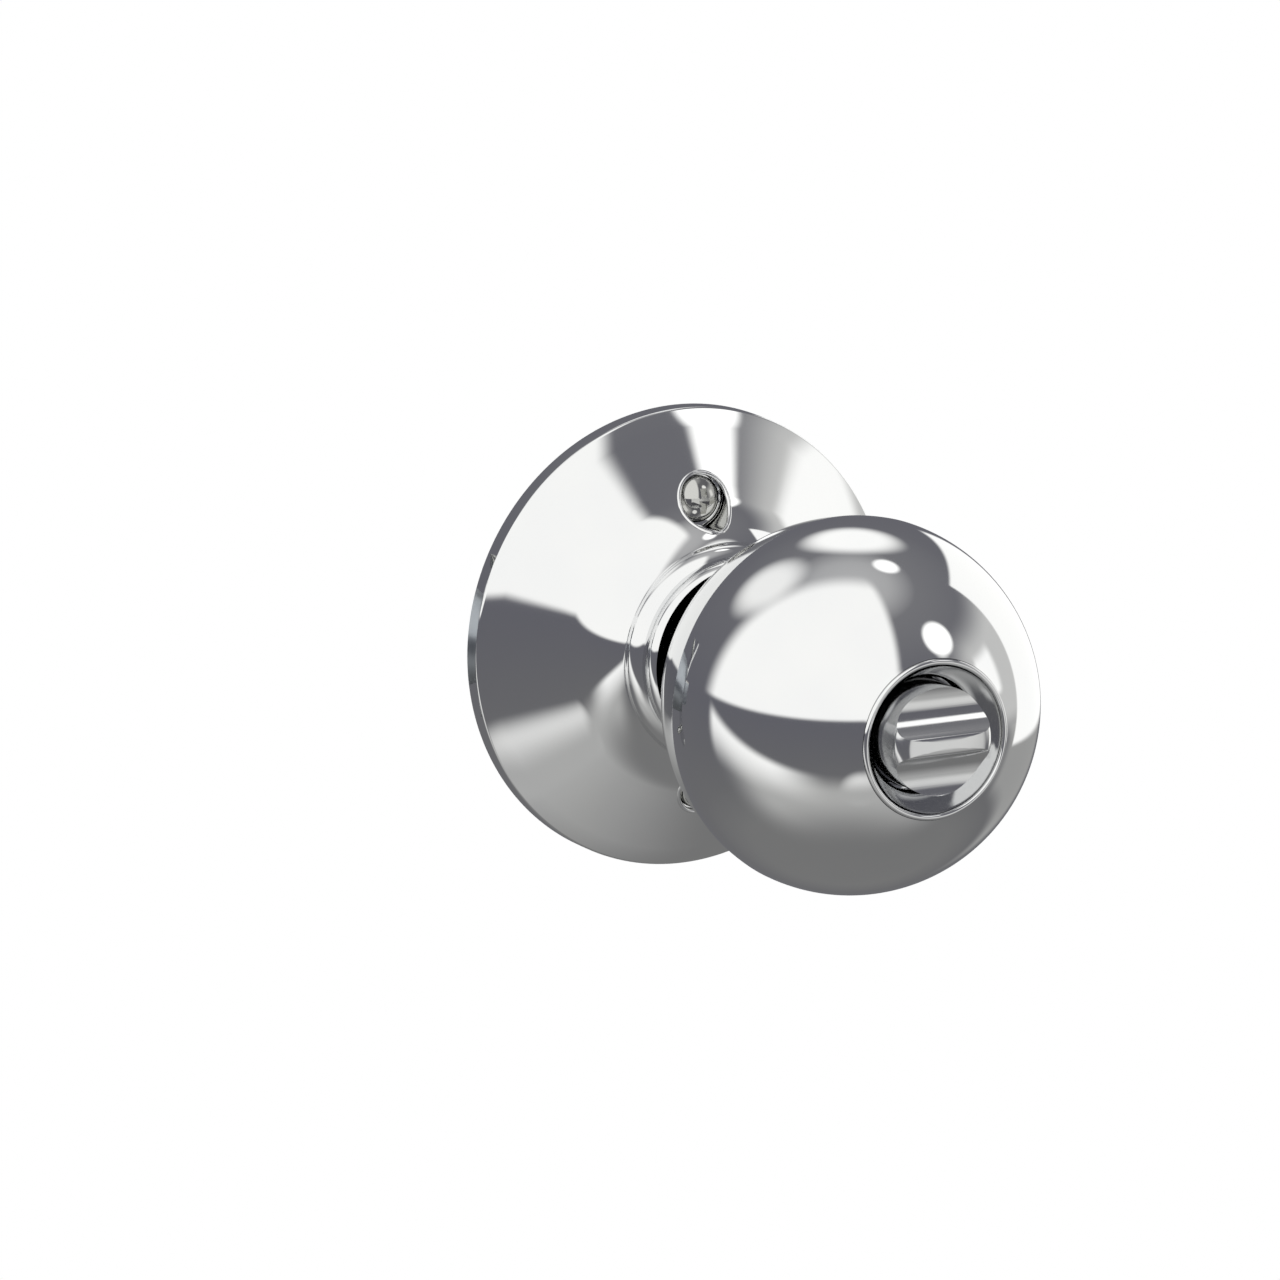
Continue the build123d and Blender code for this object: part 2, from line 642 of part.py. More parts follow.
CLIP_HIGH = WELL_HEIGHT - CUP_FLOOR - SNAP_RING_GAP
button_clip = turned_ring(
    INSIDE, STEM_RADIUS + ASSEMBLY_GAP, CLIP_RADIUS, CLIP_HIGH - CLIP_THICKNESS, CLIP_HIGH
)
button_clip.part.label = "button_clip"
export_step(button_clip.part, "parts/button_clip.step")

DRIVER_END_Y = DOOR_THICKNESS + DRIVER_REACH
with BuildPart() as driver_bar:
    with BuildSketch(INSIDE.level(STEM_END)):
        Rectangle(DRIVER_WIDTH, DRIVER_THICKNESS)
    extrude(amount=-(STEM_END + DRIVER_END_Y))
driver_bar.part.label = "driver_bar"
export_step(driver_bar.part, "parts/driver_bar.step")

# Spindle: flanged tube with two flats that carries both knobs and the latch hub
SPINDLE_FLANGE_TOP = KNOB_BACK_HEIGHT - SPINDLE_FLANGE_SETBACK
SPINDLE_END_Y = DOOR_THICKNESS - OUTSIDE_SHANK_REACH + SOCKET_THICKNESS
with BuildPart() as spindle:
    with BuildSketch(INSIDE.level(SPINDLE_FLANGE_TOP)):
        Circle(SHANK_INNER - ASSEMBLY_GAP)
    extrude(amount=-SPINDLE_FLANGE)
    with BuildSketch(INSIDE.level(SPINDLE_FLANGE_TOP)):
        double_d(SPINDLE_RADIUS, SPINDLE_FLAT)
    extrude(amount=-(SPINDLE_FLANGE_TOP + SPINDLE_END_Y))
    with BuildSketch(INSIDE.level(SPINDLE_FLANGE_TOP)):
        Circle(SPINDLE_BORE)
    extrude(amount=-(SPINDLE_FLANGE_TOP + SPINDLE_END_Y), mode=Mode.SUBTRACT)
spindle.part.label = "spindle"
export_step(spindle.part, "parts/spindle.step")

# Latch hub on the spindle, with one finger for each way of turning
FINGER_LENGTH = BOLT_THROW / (2 * sin(radians(FINGER_HALF_SWEEP)))
LATCH_MIDDLE = Plane.XZ.offset(-LATCH_Y)
HUB_HALF_LENGTH = FRAME_HALF_WIDTH + HUB_OVERHANG
with BuildPart() as latch_hub:
    with BuildSketch(LATCH_MIDDLE):
        Circle(HUB_RADIUS)
    extrude(amount=HUB_HALF_LENGTH, both=True)
    with BuildSketch(LATCH_MIDDLE):
        for finger_angle in (90 + FINGER_HALF_SWEEP, -90 - FINGER_HALF_SWEEP):
            finger_x = FINGER_LENGTH / 2 * cos(radians(finger_angle))
            finger_z = FINGER_LENGTH / 2 * sin(radians(finger_angle))
            with Locations((finger_x, finger_z)):
                SlotCenterToCenter(FINGER_LENGTH, FINGER_THICKNESS, rotation=finger_angle)
    extrude(amount=FINGER_THICKNESS / 2, both=True)
    with BuildSketch(LATCH_MIDDLE):
        double_d(SPINDLE_RADIUS + ASSEMBLY_GAP, SPINDLE_FLAT + ASSEMBLY_GAP)
    extrude(amount=HUB_HALF_LENGTH, both=True, mode=Mode.SUBTRACT)
latch_hub.part.label = "latch_hub"
export_step(latch_hub.part, "parts/latch_hub.step")

# Two mounting screws with domed, cross-slotted heads, and the posts that they thread into
SCREW_END_Y = DOOR_THICKNESS - POST_LENGTH + SCREW_ENGAGEMENT
HEAD_TOP = SCREW_SEAT_HEIGHT + SCREW_HEAD_HEIGHT
with BuildPart() as mounting_screws:
    for screw_z in (SCREW_OFFSET, -SCREW_OFFSET):
        screw_profile = Plane(origin=(0, 0, screw_z), x_dir=(1, 0, 0), z_dir=(0, 0, -1))
        with BuildSketch(screw_profile):
            with BuildLine():
                dome_edge = (SCREW_HEAD_RADIUS, SCREW_SEAT_HEIGHT + SCREW_HEAD_EDGE)
                dome_top = (0, HEAD_TOP)
                Polyline(
                    dome_top,
                    (0, -SCREW_END_Y),
                    (SCREW_RADIUS, -SCREW_END_Y),
                    (SCREW_RADIUS, SCREW_SEAT_HEIGHT),
                    (SCREW_HEAD_RADIUS, SCREW_SEAT_HEIGHT),
                    dome_edge,
                )
                TangentArc(dome_top, dome_edge, tangent=(1, 0))
            make_face()
        revolve(axis=Axis((0, 0, screw_z), (0, 1, 0)))
    with BuildSketch(INSIDE.level(HEAD_TOP)):
        with screw_places():
            Rectangle(SCREW_SLOT_LENGTH, SCREW_SLOT_WIDTH)
            Rectangle(SCREW_SLOT_WIDTH, SCREW_SLOT_LENGTH)
    extrude(amount=-SCREW_SLOT_DEPTH, mode=Mode.SUBTRACT)
mounting_screws.part.label = "mounting_screws"
export_step(mounting_screws.part, "parts/mounting_screws.step")

with BuildPart() as screw_posts:
    with BuildSketch(OUTSIDE.level(0)):
        with screw_places():
            Circle(POST_RADIUS)
            Circle(SCREW_RADIUS + THREAD_CLEARANCE, mode=Mode.SUBTRACT)
    extrude(amount=-POST_LENGTH)
screw_posts.part.label = "screw_posts"
export_step(screw_posts.part, "parts/screw_posts.step")

# Lock ring: fixed, with notches that the dog drops into
LOCK_RING_BORE = SHANK_RADIUS + LOCK_RING_CLEARANCE
NOTCH_COUNT = int(360 / NOTCH_PITCH)
NOTCH_WIDTH = DOG_WIDTH + 4 * DOG_CLEARANCE
with BuildPart() as lock_ring:
    with BuildSketch(OUTSIDE.level(-LOCK_RING_DEPTH)):
        Circle(LOCK_RING_RADIUS)
        Circle(LOCK_RING_BORE, mode=Mode.SUBTRACT)
        with PolarLocations(LOCK_RING_BORE, NOTCH_COUNT, start_angle=90):
            Rectangle(2 * NOTCH_DEPTH, NOTCH_WIDTH, mode=Mode.SUBTRACT)
    extrude(amount=LOCK_RING_DEPTH)
lock_ring.part.label = "lock_ring"
export_step(lock_ring.part, "parts/lock_ring.step")

# Outside knob: socket for the spindle's end and a carrier that guides the lock dog
with BuildPart() as spindle_socket:
    with BuildSketch(OUTSIDE.level(-OUTSIDE_SHANK_REACH)):
        Circle(SHANK_INNER - ASSEMBLY_GAP)
    extrude(amount=SOCKET_THICKNESS)
    with BuildSketch(OUTSIDE.level(-OUTSIDE_SHANK_REACH)):
        double_d(SPINDLE_RADIUS + SOCKET_CLEARANCE, SPINDLE_FLAT + SOCKET_CLEARANCE)
    extrude(amount=SOCKET_THICKNESS, mode=Mode.SUBTRACT)
spindle_socket.part.label = "spindle_socket"
export_step(spindle_socket.part, "parts/spindle_socket.step")

CARRIER_HALF = DOG_THICKNESS / 2 + CARRIER_MARGIN
CAM_PEAK = CAM_RADIUS + DOG_TRAVEL
with BuildPart() as dog_carrier:
    with BuildSketch(OUTSIDE.level(-DOG_SETBACK)):
        Circle(SHANK_INNER - ASSEMBLY_GAP)
        Circle(CAM_PEAK + DOG_FOOT_GAP, mode=Mode.SUBTRACT)
    extrude(amount=CARRIER_HALF, both=True)
    with BuildSketch(OUTSIDE.level(-DOG_SETBACK)):
        with Locations((0, SHANK_INNER / 2)):
            Rectangle(DOG_WIDTH + 2 * DOG_CLEARANCE, SHANK_INNER)
    extrude(amount=DOG_THICKNESS / 2 + DOG_CLEARANCE, both=True, mode=Mode.SUBTRACT)
dog_carrier.part.label = "dog_carrier"
export_step(dog_carrier.part, "parts/dog_carrier.step")

DOG_FOOT = CAM_RADIUS + DOG_FOOT_GAP
DOG_TIP = SHANK_RADIUS - DOG_SINK
DOG_CHAMFER = (DOG_WIDTH - DOG_FOOT_WIDTH) / 2
with BuildPart() as lock_dog:
    with BuildSketch(OUTSIDE.level(-DOG_SETBACK)):
        with BuildLine():
            Polyline(
                (-DOG_FOOT_WIDTH / 2, DOG_FOOT),
                (DOG_FOOT_WIDTH / 2, DOG_FOOT),
                (DOG_WIDTH / 2, DOG_FOOT + DOG_CHAMFER),
                (DOG_WIDTH / 2, DOG_TIP),
                (-DOG_WIDTH / 2, DOG_TIP),
                (-DOG_WIDTH / 2, DOG_FOOT + DOG_CHAMFER),
                (-DOG_FOOT_WIDTH / 2, DOG_FOOT),
            )
        make_face()
    extrude(amount=DOG_THICKNESS / 2, both=True)
lock_dog.part.label = "lock_dog"
export_step(lock_dog.part, "parts/lock_dog.step")

# Outside knob: face ring round the plug
FACE_HEIGHT = LIP_HEIGHT
PLUG_HEAD_BORE = PLUG_HEAD_RADIUS + PLUG_HEAD_GAP
face_ring = turned_ring(
    OUTSIDE, PLUG_HEAD_BORE, LIP_RADIUS, FACE_HEIGHT - FACE_RING_THICKNESS, FACE_HEIGHT
)
face_ring.part.label = "face_ring"
export_step(face_ring.part, "parts/face_ring.step")

# Cylinder body: round barrel with a tower that holds the pin stacks
BODY_FRONT = FACE_HEIGHT - FACE_RING_THICKNESS
BODY_BACK = BODY_FRONT - CYLINDER_LENGTH
PLUG_BORE = PLUG_RADIUS + PLUG_CLEARANCE
PIN_BORE = PIN_RADIUS + PIN_CLEARANCE
PIN_HEIGHTS = [FACE_HEIGHT - FIRST_PIN_DEPTH - PIN_SPACING * i for i in range(PIN_COUNT)]
TOWER_FRONT = PIN_HEIGHTS[0] + PIN_BORE + TOWER_FRONT_WALL
HEAD_POCKET = PLUG_HEAD_THICKNESS - FACE_RING_THICKNESS + PLUG_CLEARANCE
with BuildPart() as cylinder_body:
    with BuildSketch(OUTSIDE.level(BODY_BACK)):
        Circle(PLUG_RADIUS + CYLINDER_WALL)
    extrude(amount=CYLINDER_LENGTH)
    with BuildSketch(OUTSIDE.level(BODY_BACK)):
        with Locations((0, TOWER_HEIGHT / 2)):
            Rectangle(TOWER_WIDTH, TOWER_HEIGHT)
    extrude(amount=TOWER_FRONT - BODY_BACK)
    with BuildSketch(OUTSIDE.level(BODY_BACK)):
        Circle(PLUG_BORE)
    extrude(amount=CYLINDER_LENGTH, mode=Mode.SUBTRACT)
    with BuildSketch(OUTSIDE.level(BODY_FRONT)):
        Circle(PLUG_HEAD_BORE)
    extrude(amount=-HEAD_POCKET, mode=Mode.SUBTRACT)
    with BuildSketch(Plane.XY):
        with Locations(*[(0, DOOR_THICKNESS + height) for height in PIN_HEIGHTS]):
            Circle(PIN_BORE)
    extrude(amount=TOWER_HEIGHT, mode=Mode.SUBTRACT)
cylinder_body.part.label = "cylinder_body"
export_step(cylinder_body.part, "parts/cylinder_body.step")

with BuildPart() as tower_cap:
    with BuildSketch(Plane.XY.offset(TOWER_HEIGHT)):
        with Locations((0, DOOR_THICKNESS + (TOWER_FRONT + BODY_BACK) / 2)):
            Rectangle(TOWER_WIDTH, TOWER_FRONT - BODY_BACK)
    extrude(amount=TOWER_CAP)
tower_cap.part.label = "tower_cap"
export_step(tower_cap.part, "parts/tower_cap.step")

# Driver pins and their springs, above the shear line
DRIVER_PIN_LOW = PLUG_RADIUS + SHEAR_GAP
DRIVER_PIN_TOP = DRIVER_PIN_LOW + DRIVER_PIN_LENGTH
with BuildPart() as driver_pins:
    with BuildSketch(Plane.XY.offset(DRIVER_PIN_LOW)):
        with Locations(*[(0, DOOR_THICKNESS + height) for height in PIN_HEIGHTS]):
            Circle(PIN_RADIUS)
    extrude(amount=DRIVER_PIN_LENGTH)
driver_pins.part.label = "driver_pins"
export_step(driver_pins.part, "parts/driver_pins.step")

PIN_SPRING_RADIUS = PIN_RADIUS - 2 * PIN_SPRING_WIRE
PIN_SPRING_LENGTH = TOWER_HEIGHT - DRIVER_PIN_TOP - 4 * PIN_SPRING_WIRE
with BuildPart() as pin_springs:
    for height in PIN_HEIGHTS:
        spring_base = Plane(origin=(0, DOOR_THICKNESS + height, DRIVER_PIN_TOP + 2 * PIN_SPRING_WIRE))
        coil = coil_spring(
            spring_base, PIN_SPRING_RADIUS, PIN_SPRING_WIRE, PIN_SPRING_LENGTH, PIN_SPRING_TURNS
        )
        add(coil.part)
pin_springs.part.label = "pin_springs"
export_step(pin_springs.part, "parts/pin_springs.step")

# Plug with its keyway and pin holes
KEY_TOP = KEY_HEIGHT - KEY_BOTTOM
PLUG_BACK = FACE_HEIGHT - PLUG_LENGTH
with BuildPart() as key_plug:
    with BuildSketch(OUTSIDE.level(PLUG_BACK)):
        Circle(PLUG_RADIUS)
    extrude(amount=PLUG_LENGTH)
    with BuildSketch(OUTSIDE.level(FACE_HEIGHT)):
        Circle(PLUG_HEAD_RADIUS)
    extrude(amount=-PLUG_HEAD_THICKNESS)
    with BuildSketch(OUTSIDE.level(FACE_HEIGHT)):
        with Locations((0, (KEY_TOP - KEY_BOTTOM) / 2)):
            Rectangle(KEY_THICKNESS + 2 * KEY_CLEARANCE, KEY_HEIGHT + 2 * KEY_CLEARANCE)
    extrude(amount=-(KEY_BLADE + KEYWAY_EXTRA), mode=Mode.SUBTRACT)
    with BuildSketch(Plane.XY):
        with Locations(*[(0, DOOR_THICKNESS + height) for height in PIN_HEIGHTS]):
            Circle(PIN_BORE)
    extrude(amount=PLUG_RADIUS, mode=Mode.SUBTRACT)
key_plug.part.label = "key_plug"
export_step(key_plug.part, "parts/key_plug.step")

# Key pins stand on the key's cuts and end at the shear line
KEY_PIN_TOP = sqrt(PLUG_RADIUS**2 - PIN_RADIUS**2) - SHEAR_GAP
with BuildPart() as key_pins:
    for height, cut in zip(PIN_HEIGHTS, KEY_CUTS):
        pin_y = DOOR_THICKNESS + height
        pin_low = KEY_TOP - cut + SHEAR_GAP / 2
        with BuildSketch(Plane(origin=(0, pin_y, 0), x_dir=(1, 0, 0), z_dir=(0, -1, 0))):
            with BuildLine():
                Polyline(
                    (0, pin_low),
                    (PIN_TIP_RADIUS, pin_low),
                    (PIN_RADIUS, pin_low + PIN_TIP_HEIGHT),
                    (PIN_RADIUS, KEY_PIN_TOP),
                    (0, KEY_PIN_TOP),
                    (0, pin_low),
                )
            make_face()
        revolve(axis=Axis((0, pin_y, 0), (0, 0, 1)))
key_pins.part.label = "key_pins"
export_step(key_pins.part, "parts/key_pins.step")

# Key, all the way in: blade with cuts, neck and a plain round bow
NECK_START = DOOR_THICKNESS + FACE_HEIGHT + PLUG_CLEARANCE
BOW_CENTRE_Y = NECK_START + KEY_NECK_LENGTH + KEY_BOW_LENGTH / 2
BLADE_TIP_Y = DOOR_THICKNESS + FACE_HEIGHT - KEY_BLADE
with BuildPart() as key:
    with BuildSketch(Plane.YZ):
        with BuildLine():
            Polyline(
                (BLADE_TIP_Y, -KEY_BOTTOM + KEY_HEIGHT / 4),
                (BLADE_TIP_Y + KEY_HEIGHT / 4, -KEY_BOTTOM),
                (NECK_START, -KEY_BOTTOM),
                (NECK_START, KEY_TOP),
                (BLADE_TIP_Y + KEY_HEIGHT / 4, KEY_TOP),
                (BLADE_TIP_Y, KEY_TOP - KEY_HEIGHT / 4),
                (BLADE_TIP_Y, -KEY_BOTTOM + KEY_HEIGHT / 4),
            )
        make_face()
        for height, cut in zip(PIN_HEIGHTS, KEY_CUTS):
            cut_y = DOOR_THICKNESS + height
            with BuildLine():
                Polyline(
                    (cut_y - KEY_CUT_FLAT / 2, KEY_TOP - cut),
                    (cut_y + KEY_CUT_FLAT / 2, KEY_TOP - cut),
                    (cut_y + KEY_CUT_FLAT / 2 + 2 * cut, KEY_TOP + cut),
                    (cut_y - KEY_CUT_FLAT / 2 - 2 * cut, KEY_TOP + cut),
                    (cut_y - KEY_CUT_FLAT / 2, KEY_TOP - cut),
                )
            make_face(mode=Mode.SUBTRACT)
    extrude(amount=KEY_THICKNESS / 2, both=True)
    with BuildSketch(Plane.YZ):
        with Locations((NECK_START + KEY_NECK_LENGTH, 0)):
            Rectangle(2 * KEY_NECK_LENGTH, KEY_NECK_HEIGHT)
        with Locations((BOW_CENTRE_Y, 0)):
            Ellipse(KEY_BOW_LENGTH / 2, KEY_BOW_WIDTH / 2)
        with Locations((BOW_CENTRE_Y + KEY_BOW_LENGTH / 2 - KEY_RING_INSET, 0)):
            Circle(KEY_RING_HOLE, mode=Mode.SUBTRACT)
    extrude(amount=KEY_BOW_THICKNESS / 2, both=True)
key.part.label = "key"
export_step(key.part, "parts/key.step")

plug_clip = turned_ring(
    OUTSIDE,
    PLUG_RADIUS + ASSEMBLY_GAP,
    PLUG_CLIP_RADIUS,
    BODY_BACK - PLUG_CLEARANCE - PLUG_CLIP_THICKNESS,
    BODY_BACK - PLUG_CLEARANCE,
)
plug_clip.part.label = "plug_clip"
export_step(plug_clip.part, "parts/plug_clip.step")

# Tailpiece: flange on the plug, flat bar, and a slotted sleeve with the dog's cam
SLEEVE_LOW = -(OUTSIDE_SHANK_REACH - SOCKET_THICKNESS - TAIL_SLEEVE_GAP)
SLEEVE_HIGH = SLEEVE_LOW + TAIL_SLEEVE_LENGTH
SLOT_DEPTH = DRIVER_REACH - SLEEVE_LOW + DRIVER_END_GAP
with BuildPart() as tailpiece:
    with BuildSketch(OUTSIDE.level(PLUG_BACK)):
        Circle(TAIL_FLANGE_RADIUS)
    extrude(amount=-TAIL_FLANGE_THICKNESS)
    with BuildSketch(OUTSIDE.level(SLEEVE_HIGH)):
        Rectangle(DRIVER_WIDTH, DRIVER_THICKNESS)
    extrude(amount=PLUG_BACK - SLEEVE_HIGH)
    with BuildSketch(OUTSIDE.level(SLEEVE_LOW)):
        Circle(TAIL_SLEEVE_RADIUS)
    extrude(amount=TAIL_SLEEVE_LENGTH)
    with BuildSketch(OUTSIDE.level(-DOG_SETBACK)):
        with BuildLine():
            rise_points = []
            for step in range(CAM_STEPS + 1):
                rise_turn = CAM_TURN * step / CAM_STEPS
                rise_radius = CAM_RADIUS + DOG_TRAVEL * step / CAM_STEPS
                rise_angle = radians(90 - rise_turn)
                rise_points.append((rise_radius * cos(rise_angle), rise_radius * sin(rise_angle)))
            peak_end_angle = radians(90 - CAM_TURN - CAM_DWELL)
            peak_middle_angle = radians(90 - CAM_TURN - CAM_DWELL / 2)
            peak_end = (CAM_PEAK * cos(peak_end_angle), CAM_PEAK * sin(peak_end_angle))
            peak_middle = (CAM_PEAK * cos(peak_middle_angle), CAM_PEAK * sin(peak_middle_angle))
            low_start = (CAM_RADIUS * cos(peak_end_angle), CAM_RADIUS * sin(peak_end_angle))
            Spline(*rise_points)
            ThreePointArc(rise_points[-1], peak_middle, peak_end)
            Line(peak_end, low_start)
            ThreePointArc(low_start, (-CAM_RADIUS, 0), rise_points[0])
        make_face()
    extrude(amount=DOG_THICKNESS / 2, both=True)
    with BuildSketch(OUTSIDE.level(SLEEVE_LOW)):
        Rectangle(DRIVER_WIDTH + 2 * DRIVER_CLEARANCE, DRIVER_THICKNESS + 2 * DRIVER_CLEARANCE)
    extrude(amount=SLOT_DEPTH, mode=Mode.SUBTRACT)
tailpiece.part.label = "tailpiece"
export_step(tailpiece.part, "parts/tailpiece.step")

# Latch: faceplate let into the door's edge, with its two screws
STACK_LOW = BOLT_SIDE - BOLT_THICKNESS - PLUNGER_GAP - PLUNGER_THICKNESS
OPENING_WIDTH = BOLT_SIDE - STACK_LOW + 2 * OPENING_CLEARANCE
OPENING_MIDDLE = LATCH_Y + (BOLT_SIDE + STACK_LOW) / 2
FACEPLATE_BACK = DOOR_EDGE_X + FACEPLATE_THICKNESS
FACEPLATE_SCREW_Z = FACEPLATE_SCREW_SPACING / 2
SINK_DEPTH = FACEPLATE_SINK_RADIUS - FACEPLATE_HOLE_RADIUS
with BuildPart() as latch_faceplate:
    with BuildSketch(Plane.YZ.offset(DOOR_EDGE_X)):
        with Locations((LATCH_Y, 0)):
            RectangleRounded(FACEPLATE_WIDTH, FACEPLATE_HEIGHT, FACEPLATE_CORNER)
        with Locations((OPENING_MIDDLE, 0)):
            Rectangle(OPENING_WIDTH, BOLT_HEIGHT + 2 * OPENING_CLEARANCE, mode=Mode.SUBTRACT)
    extrude(amount=FACEPLATE_THICKNESS)
    for screw_z in (FACEPLATE_SCREW_Z, -FACEPLATE_SCREW_Z):
        with BuildSketch(Plane(origin=(DOOR_EDGE_X, LATCH_Y, screw_z), x_dir=(1, 0, 0), z_dir=(0, 0, 1))):
            with BuildLine():
                Polyline(
                    (0, 0),
                    (0, FACEPLATE_SINK_RADIUS),
                    (SINK_DEPTH, FACEPLATE_HOLE_RADIUS),
                    (SINK_DEPTH + FACEPLATE_THICKNESS, FACEPLATE_HOLE_RADIUS),
                    (SINK_DEPTH + FACEPLATE_THICKNESS, 0),
                    (0, 0),
                )
            make_face()
        revolve(axis=Axis((0, LATCH_Y, screw_z), (1, 0, 0)), mode=Mode.SUBTRACT)
latch_faceplate.part.label = "latch_faceplate"
export_step(latch_faceplate.part, "parts/latch_faceplate.step")

FACEPLATE_HEAD_RADIUS = FACEPLATE_SINK_RADIUS - 2 * ASSEMBLY_GAP
FACEPLATE_HEAD_DEPTH = FACEPLATE_HEAD_RADIUS - FACEPLATE_SCREW_RADIUS
with BuildPart() as faceplate_screws:
    for screw_z in (FACEPLATE_SCREW_Z, -FACEPLATE_SCREW_Z):
        with BuildSketch(Plane(origin=(DOOR_EDGE_X, LATCH_Y, screw_z), x_dir=(1, 0, 0), z_dir=(0, 0, 1))):
            with BuildLine():
                Polyline(
                    (0, 0),
                    (0, FACEPLATE_HEAD_RADIUS),
                    (FACEPLATE_HEAD_DEPTH, FACEPLATE_SCREW_RADIUS),
                    (FACEPLATE_SCREW_LENGTH - 2 * FACEPLATE_SCREW_RADIUS, FACEPLATE_SCREW_RADIUS),
                    (FACEPLATE_SCREW_LENGTH, 0),
                    (0, 0),
                )
            make_face()
        revolve(axis=Axis((0, LATCH_Y, screw_z), (1, 0, 0)))
    with BuildSketch(Plane.YZ.offset(DOOR_EDGE_X)):
        with Locations((LATCH_Y, FACEPLATE_SCREW_Z), (LATCH_Y, -FACEPLATE_SCREW_Z)):
            Rectangle(SCREW_SLOT_LENGTH, SCREW_SLOT_WIDTH)
            Rectangle(SCREW_SLOT_WIDTH, SCREW_SLOT_LENGTH)
    extrude(amount=SCREW_SLOT_DEPTH, mode=Mode.SUBTRACT)
faceplate_screws.part.label = "faceplate_screws"
export_step(faceplate_screws.part, "parts/faceplate_screws.step")

# Latch tube and the frame that holds the hub at its inner end
TUBE_INNER = TUBE_RADIUS - TUBE_WALL
with BuildPart() as latch_tube:
    with BuildSketch(Plane.YZ.offset(FACEPLATE_BACK)):
        with Locations((LATCH_Y, 0)):
            Circle(TUBE_RADIUS)
            Circle(TUBE_INNER, mode=Mode.SUBTRACT)
    extrude(amount=-TUBE_END - FACEPLATE_BACK)
latch_tube.part.label = "latch_tube"
export_step(latch_tube.part, "parts/latch_tube.step")

FRAME_END = TAIL_REACH + BOLT_THROW + FRAME_END_GAP
FRAME_NECK_HEIGHT = 2 * sqrt((TUBE_INNER - ASSEMBLY_GAP) ** 2 - FRAME_HALF_WIDTH**2)
FRAME_INNER = FRAME_HALF_WIDTH - FRAME_PLATE
with BuildPart() as latch_frame:
    with BuildSketch(LATCH_MIDDLE):
        with Locations(((FRAME_END + FRAME_PLATE - TUBE_END) / 2, 0)):
            Rectangle(FRAME_END + FRAME_PLATE + TUBE_END, FRAME_HEIGHT)
        with Locations((-TUBE_END - FRAME_NECK_LENGTH / 2, 0)):
            Rectangle(FRAME_NECK_LENGTH, FRAME_NECK_HEIGHT)
        Circle(HUB_RADIUS + HUB_CLEARANCE, mode=Mode.SUBTRACT)
    extrude(amount=FRAME_HALF_WIDTH, both=True)
    with BuildSketch(LATCH_MIDDLE):
        with Locations(((FRAME_END - TUBE_END - FRAME_NECK_LENGTH) / 2, 0)):
            Rectangle(FRAME_END + TUBE_END + FRAME_NECK_LENGTH, FRAME_HEIGHT)
    extrude(amount=FRAME_INNER, both=True, mode=Mode.SUBTRACT)
latch_frame.part.label = "latch_frame"
export_step(latch_frame.part, "parts/latch_frame.step")

STOP_X = -TUBE_END - STOP_SETBACK
with BuildPart() as spring_stop:
    with BuildSketch(Plane.YZ.offset(STOP_X - STOP_THICKNESS)):
        with Locations((LATCH_Y + (STOP_SIDE - FRAME_INNER) / 2, 0)):
            Rectangle(STOP_SIDE + FRAME_INNER, 2 * STOP_HALF_HEIGHT)
    extrude(amount=STOP_THICKNESS)
spring_stop.part.label = "spring_stop"
export_step(spring_stop.part, "parts/spring_stop.step")

# Latch bolt, bevelled towards the outside, and its tail with two hooks
BOLT_TIP_X = DOOR_EDGE_X - BOLT_THROW
BOLT_REAR_X = FACEPLATE_BACK + BOLT_BODY
BOLT_HIGH_Y = LATCH_Y + BOLT_SIDE
BOLT_LOW_Y = BOLT_HIGH_Y - BOLT_THICKNESS
with BuildPart() as latch_bolt:
    with BuildSketch(Plane.XY):
        with BuildLine():
            bevel_foot = (DOOR_EDGE_X, BOLT_HIGH_Y)
            bevel_tip = (BOLT_TIP_X, BOLT_LOW_Y + BOLT_TIP)
            Polyline(
                bevel_tip,
                (BOLT_TIP_X, BOLT_LOW_Y),
                (BOLT_REAR_X, BOLT_LOW_Y),
                (BOLT_REAR_X, BOLT_HIGH_Y),
                bevel_foot,
            )
            ThreePointArc(bevel_foot, bulge_point(bevel_foot, bevel_tip, BOLT_BEVEL_BULGE), bevel_tip)
        make_face()
    extrude(amount=BOLT_HEIGHT / 2, both=True)
latch_bolt.part.label = "latch_bolt"
export_step(latch_bolt.part, "parts/latch_bolt.step")

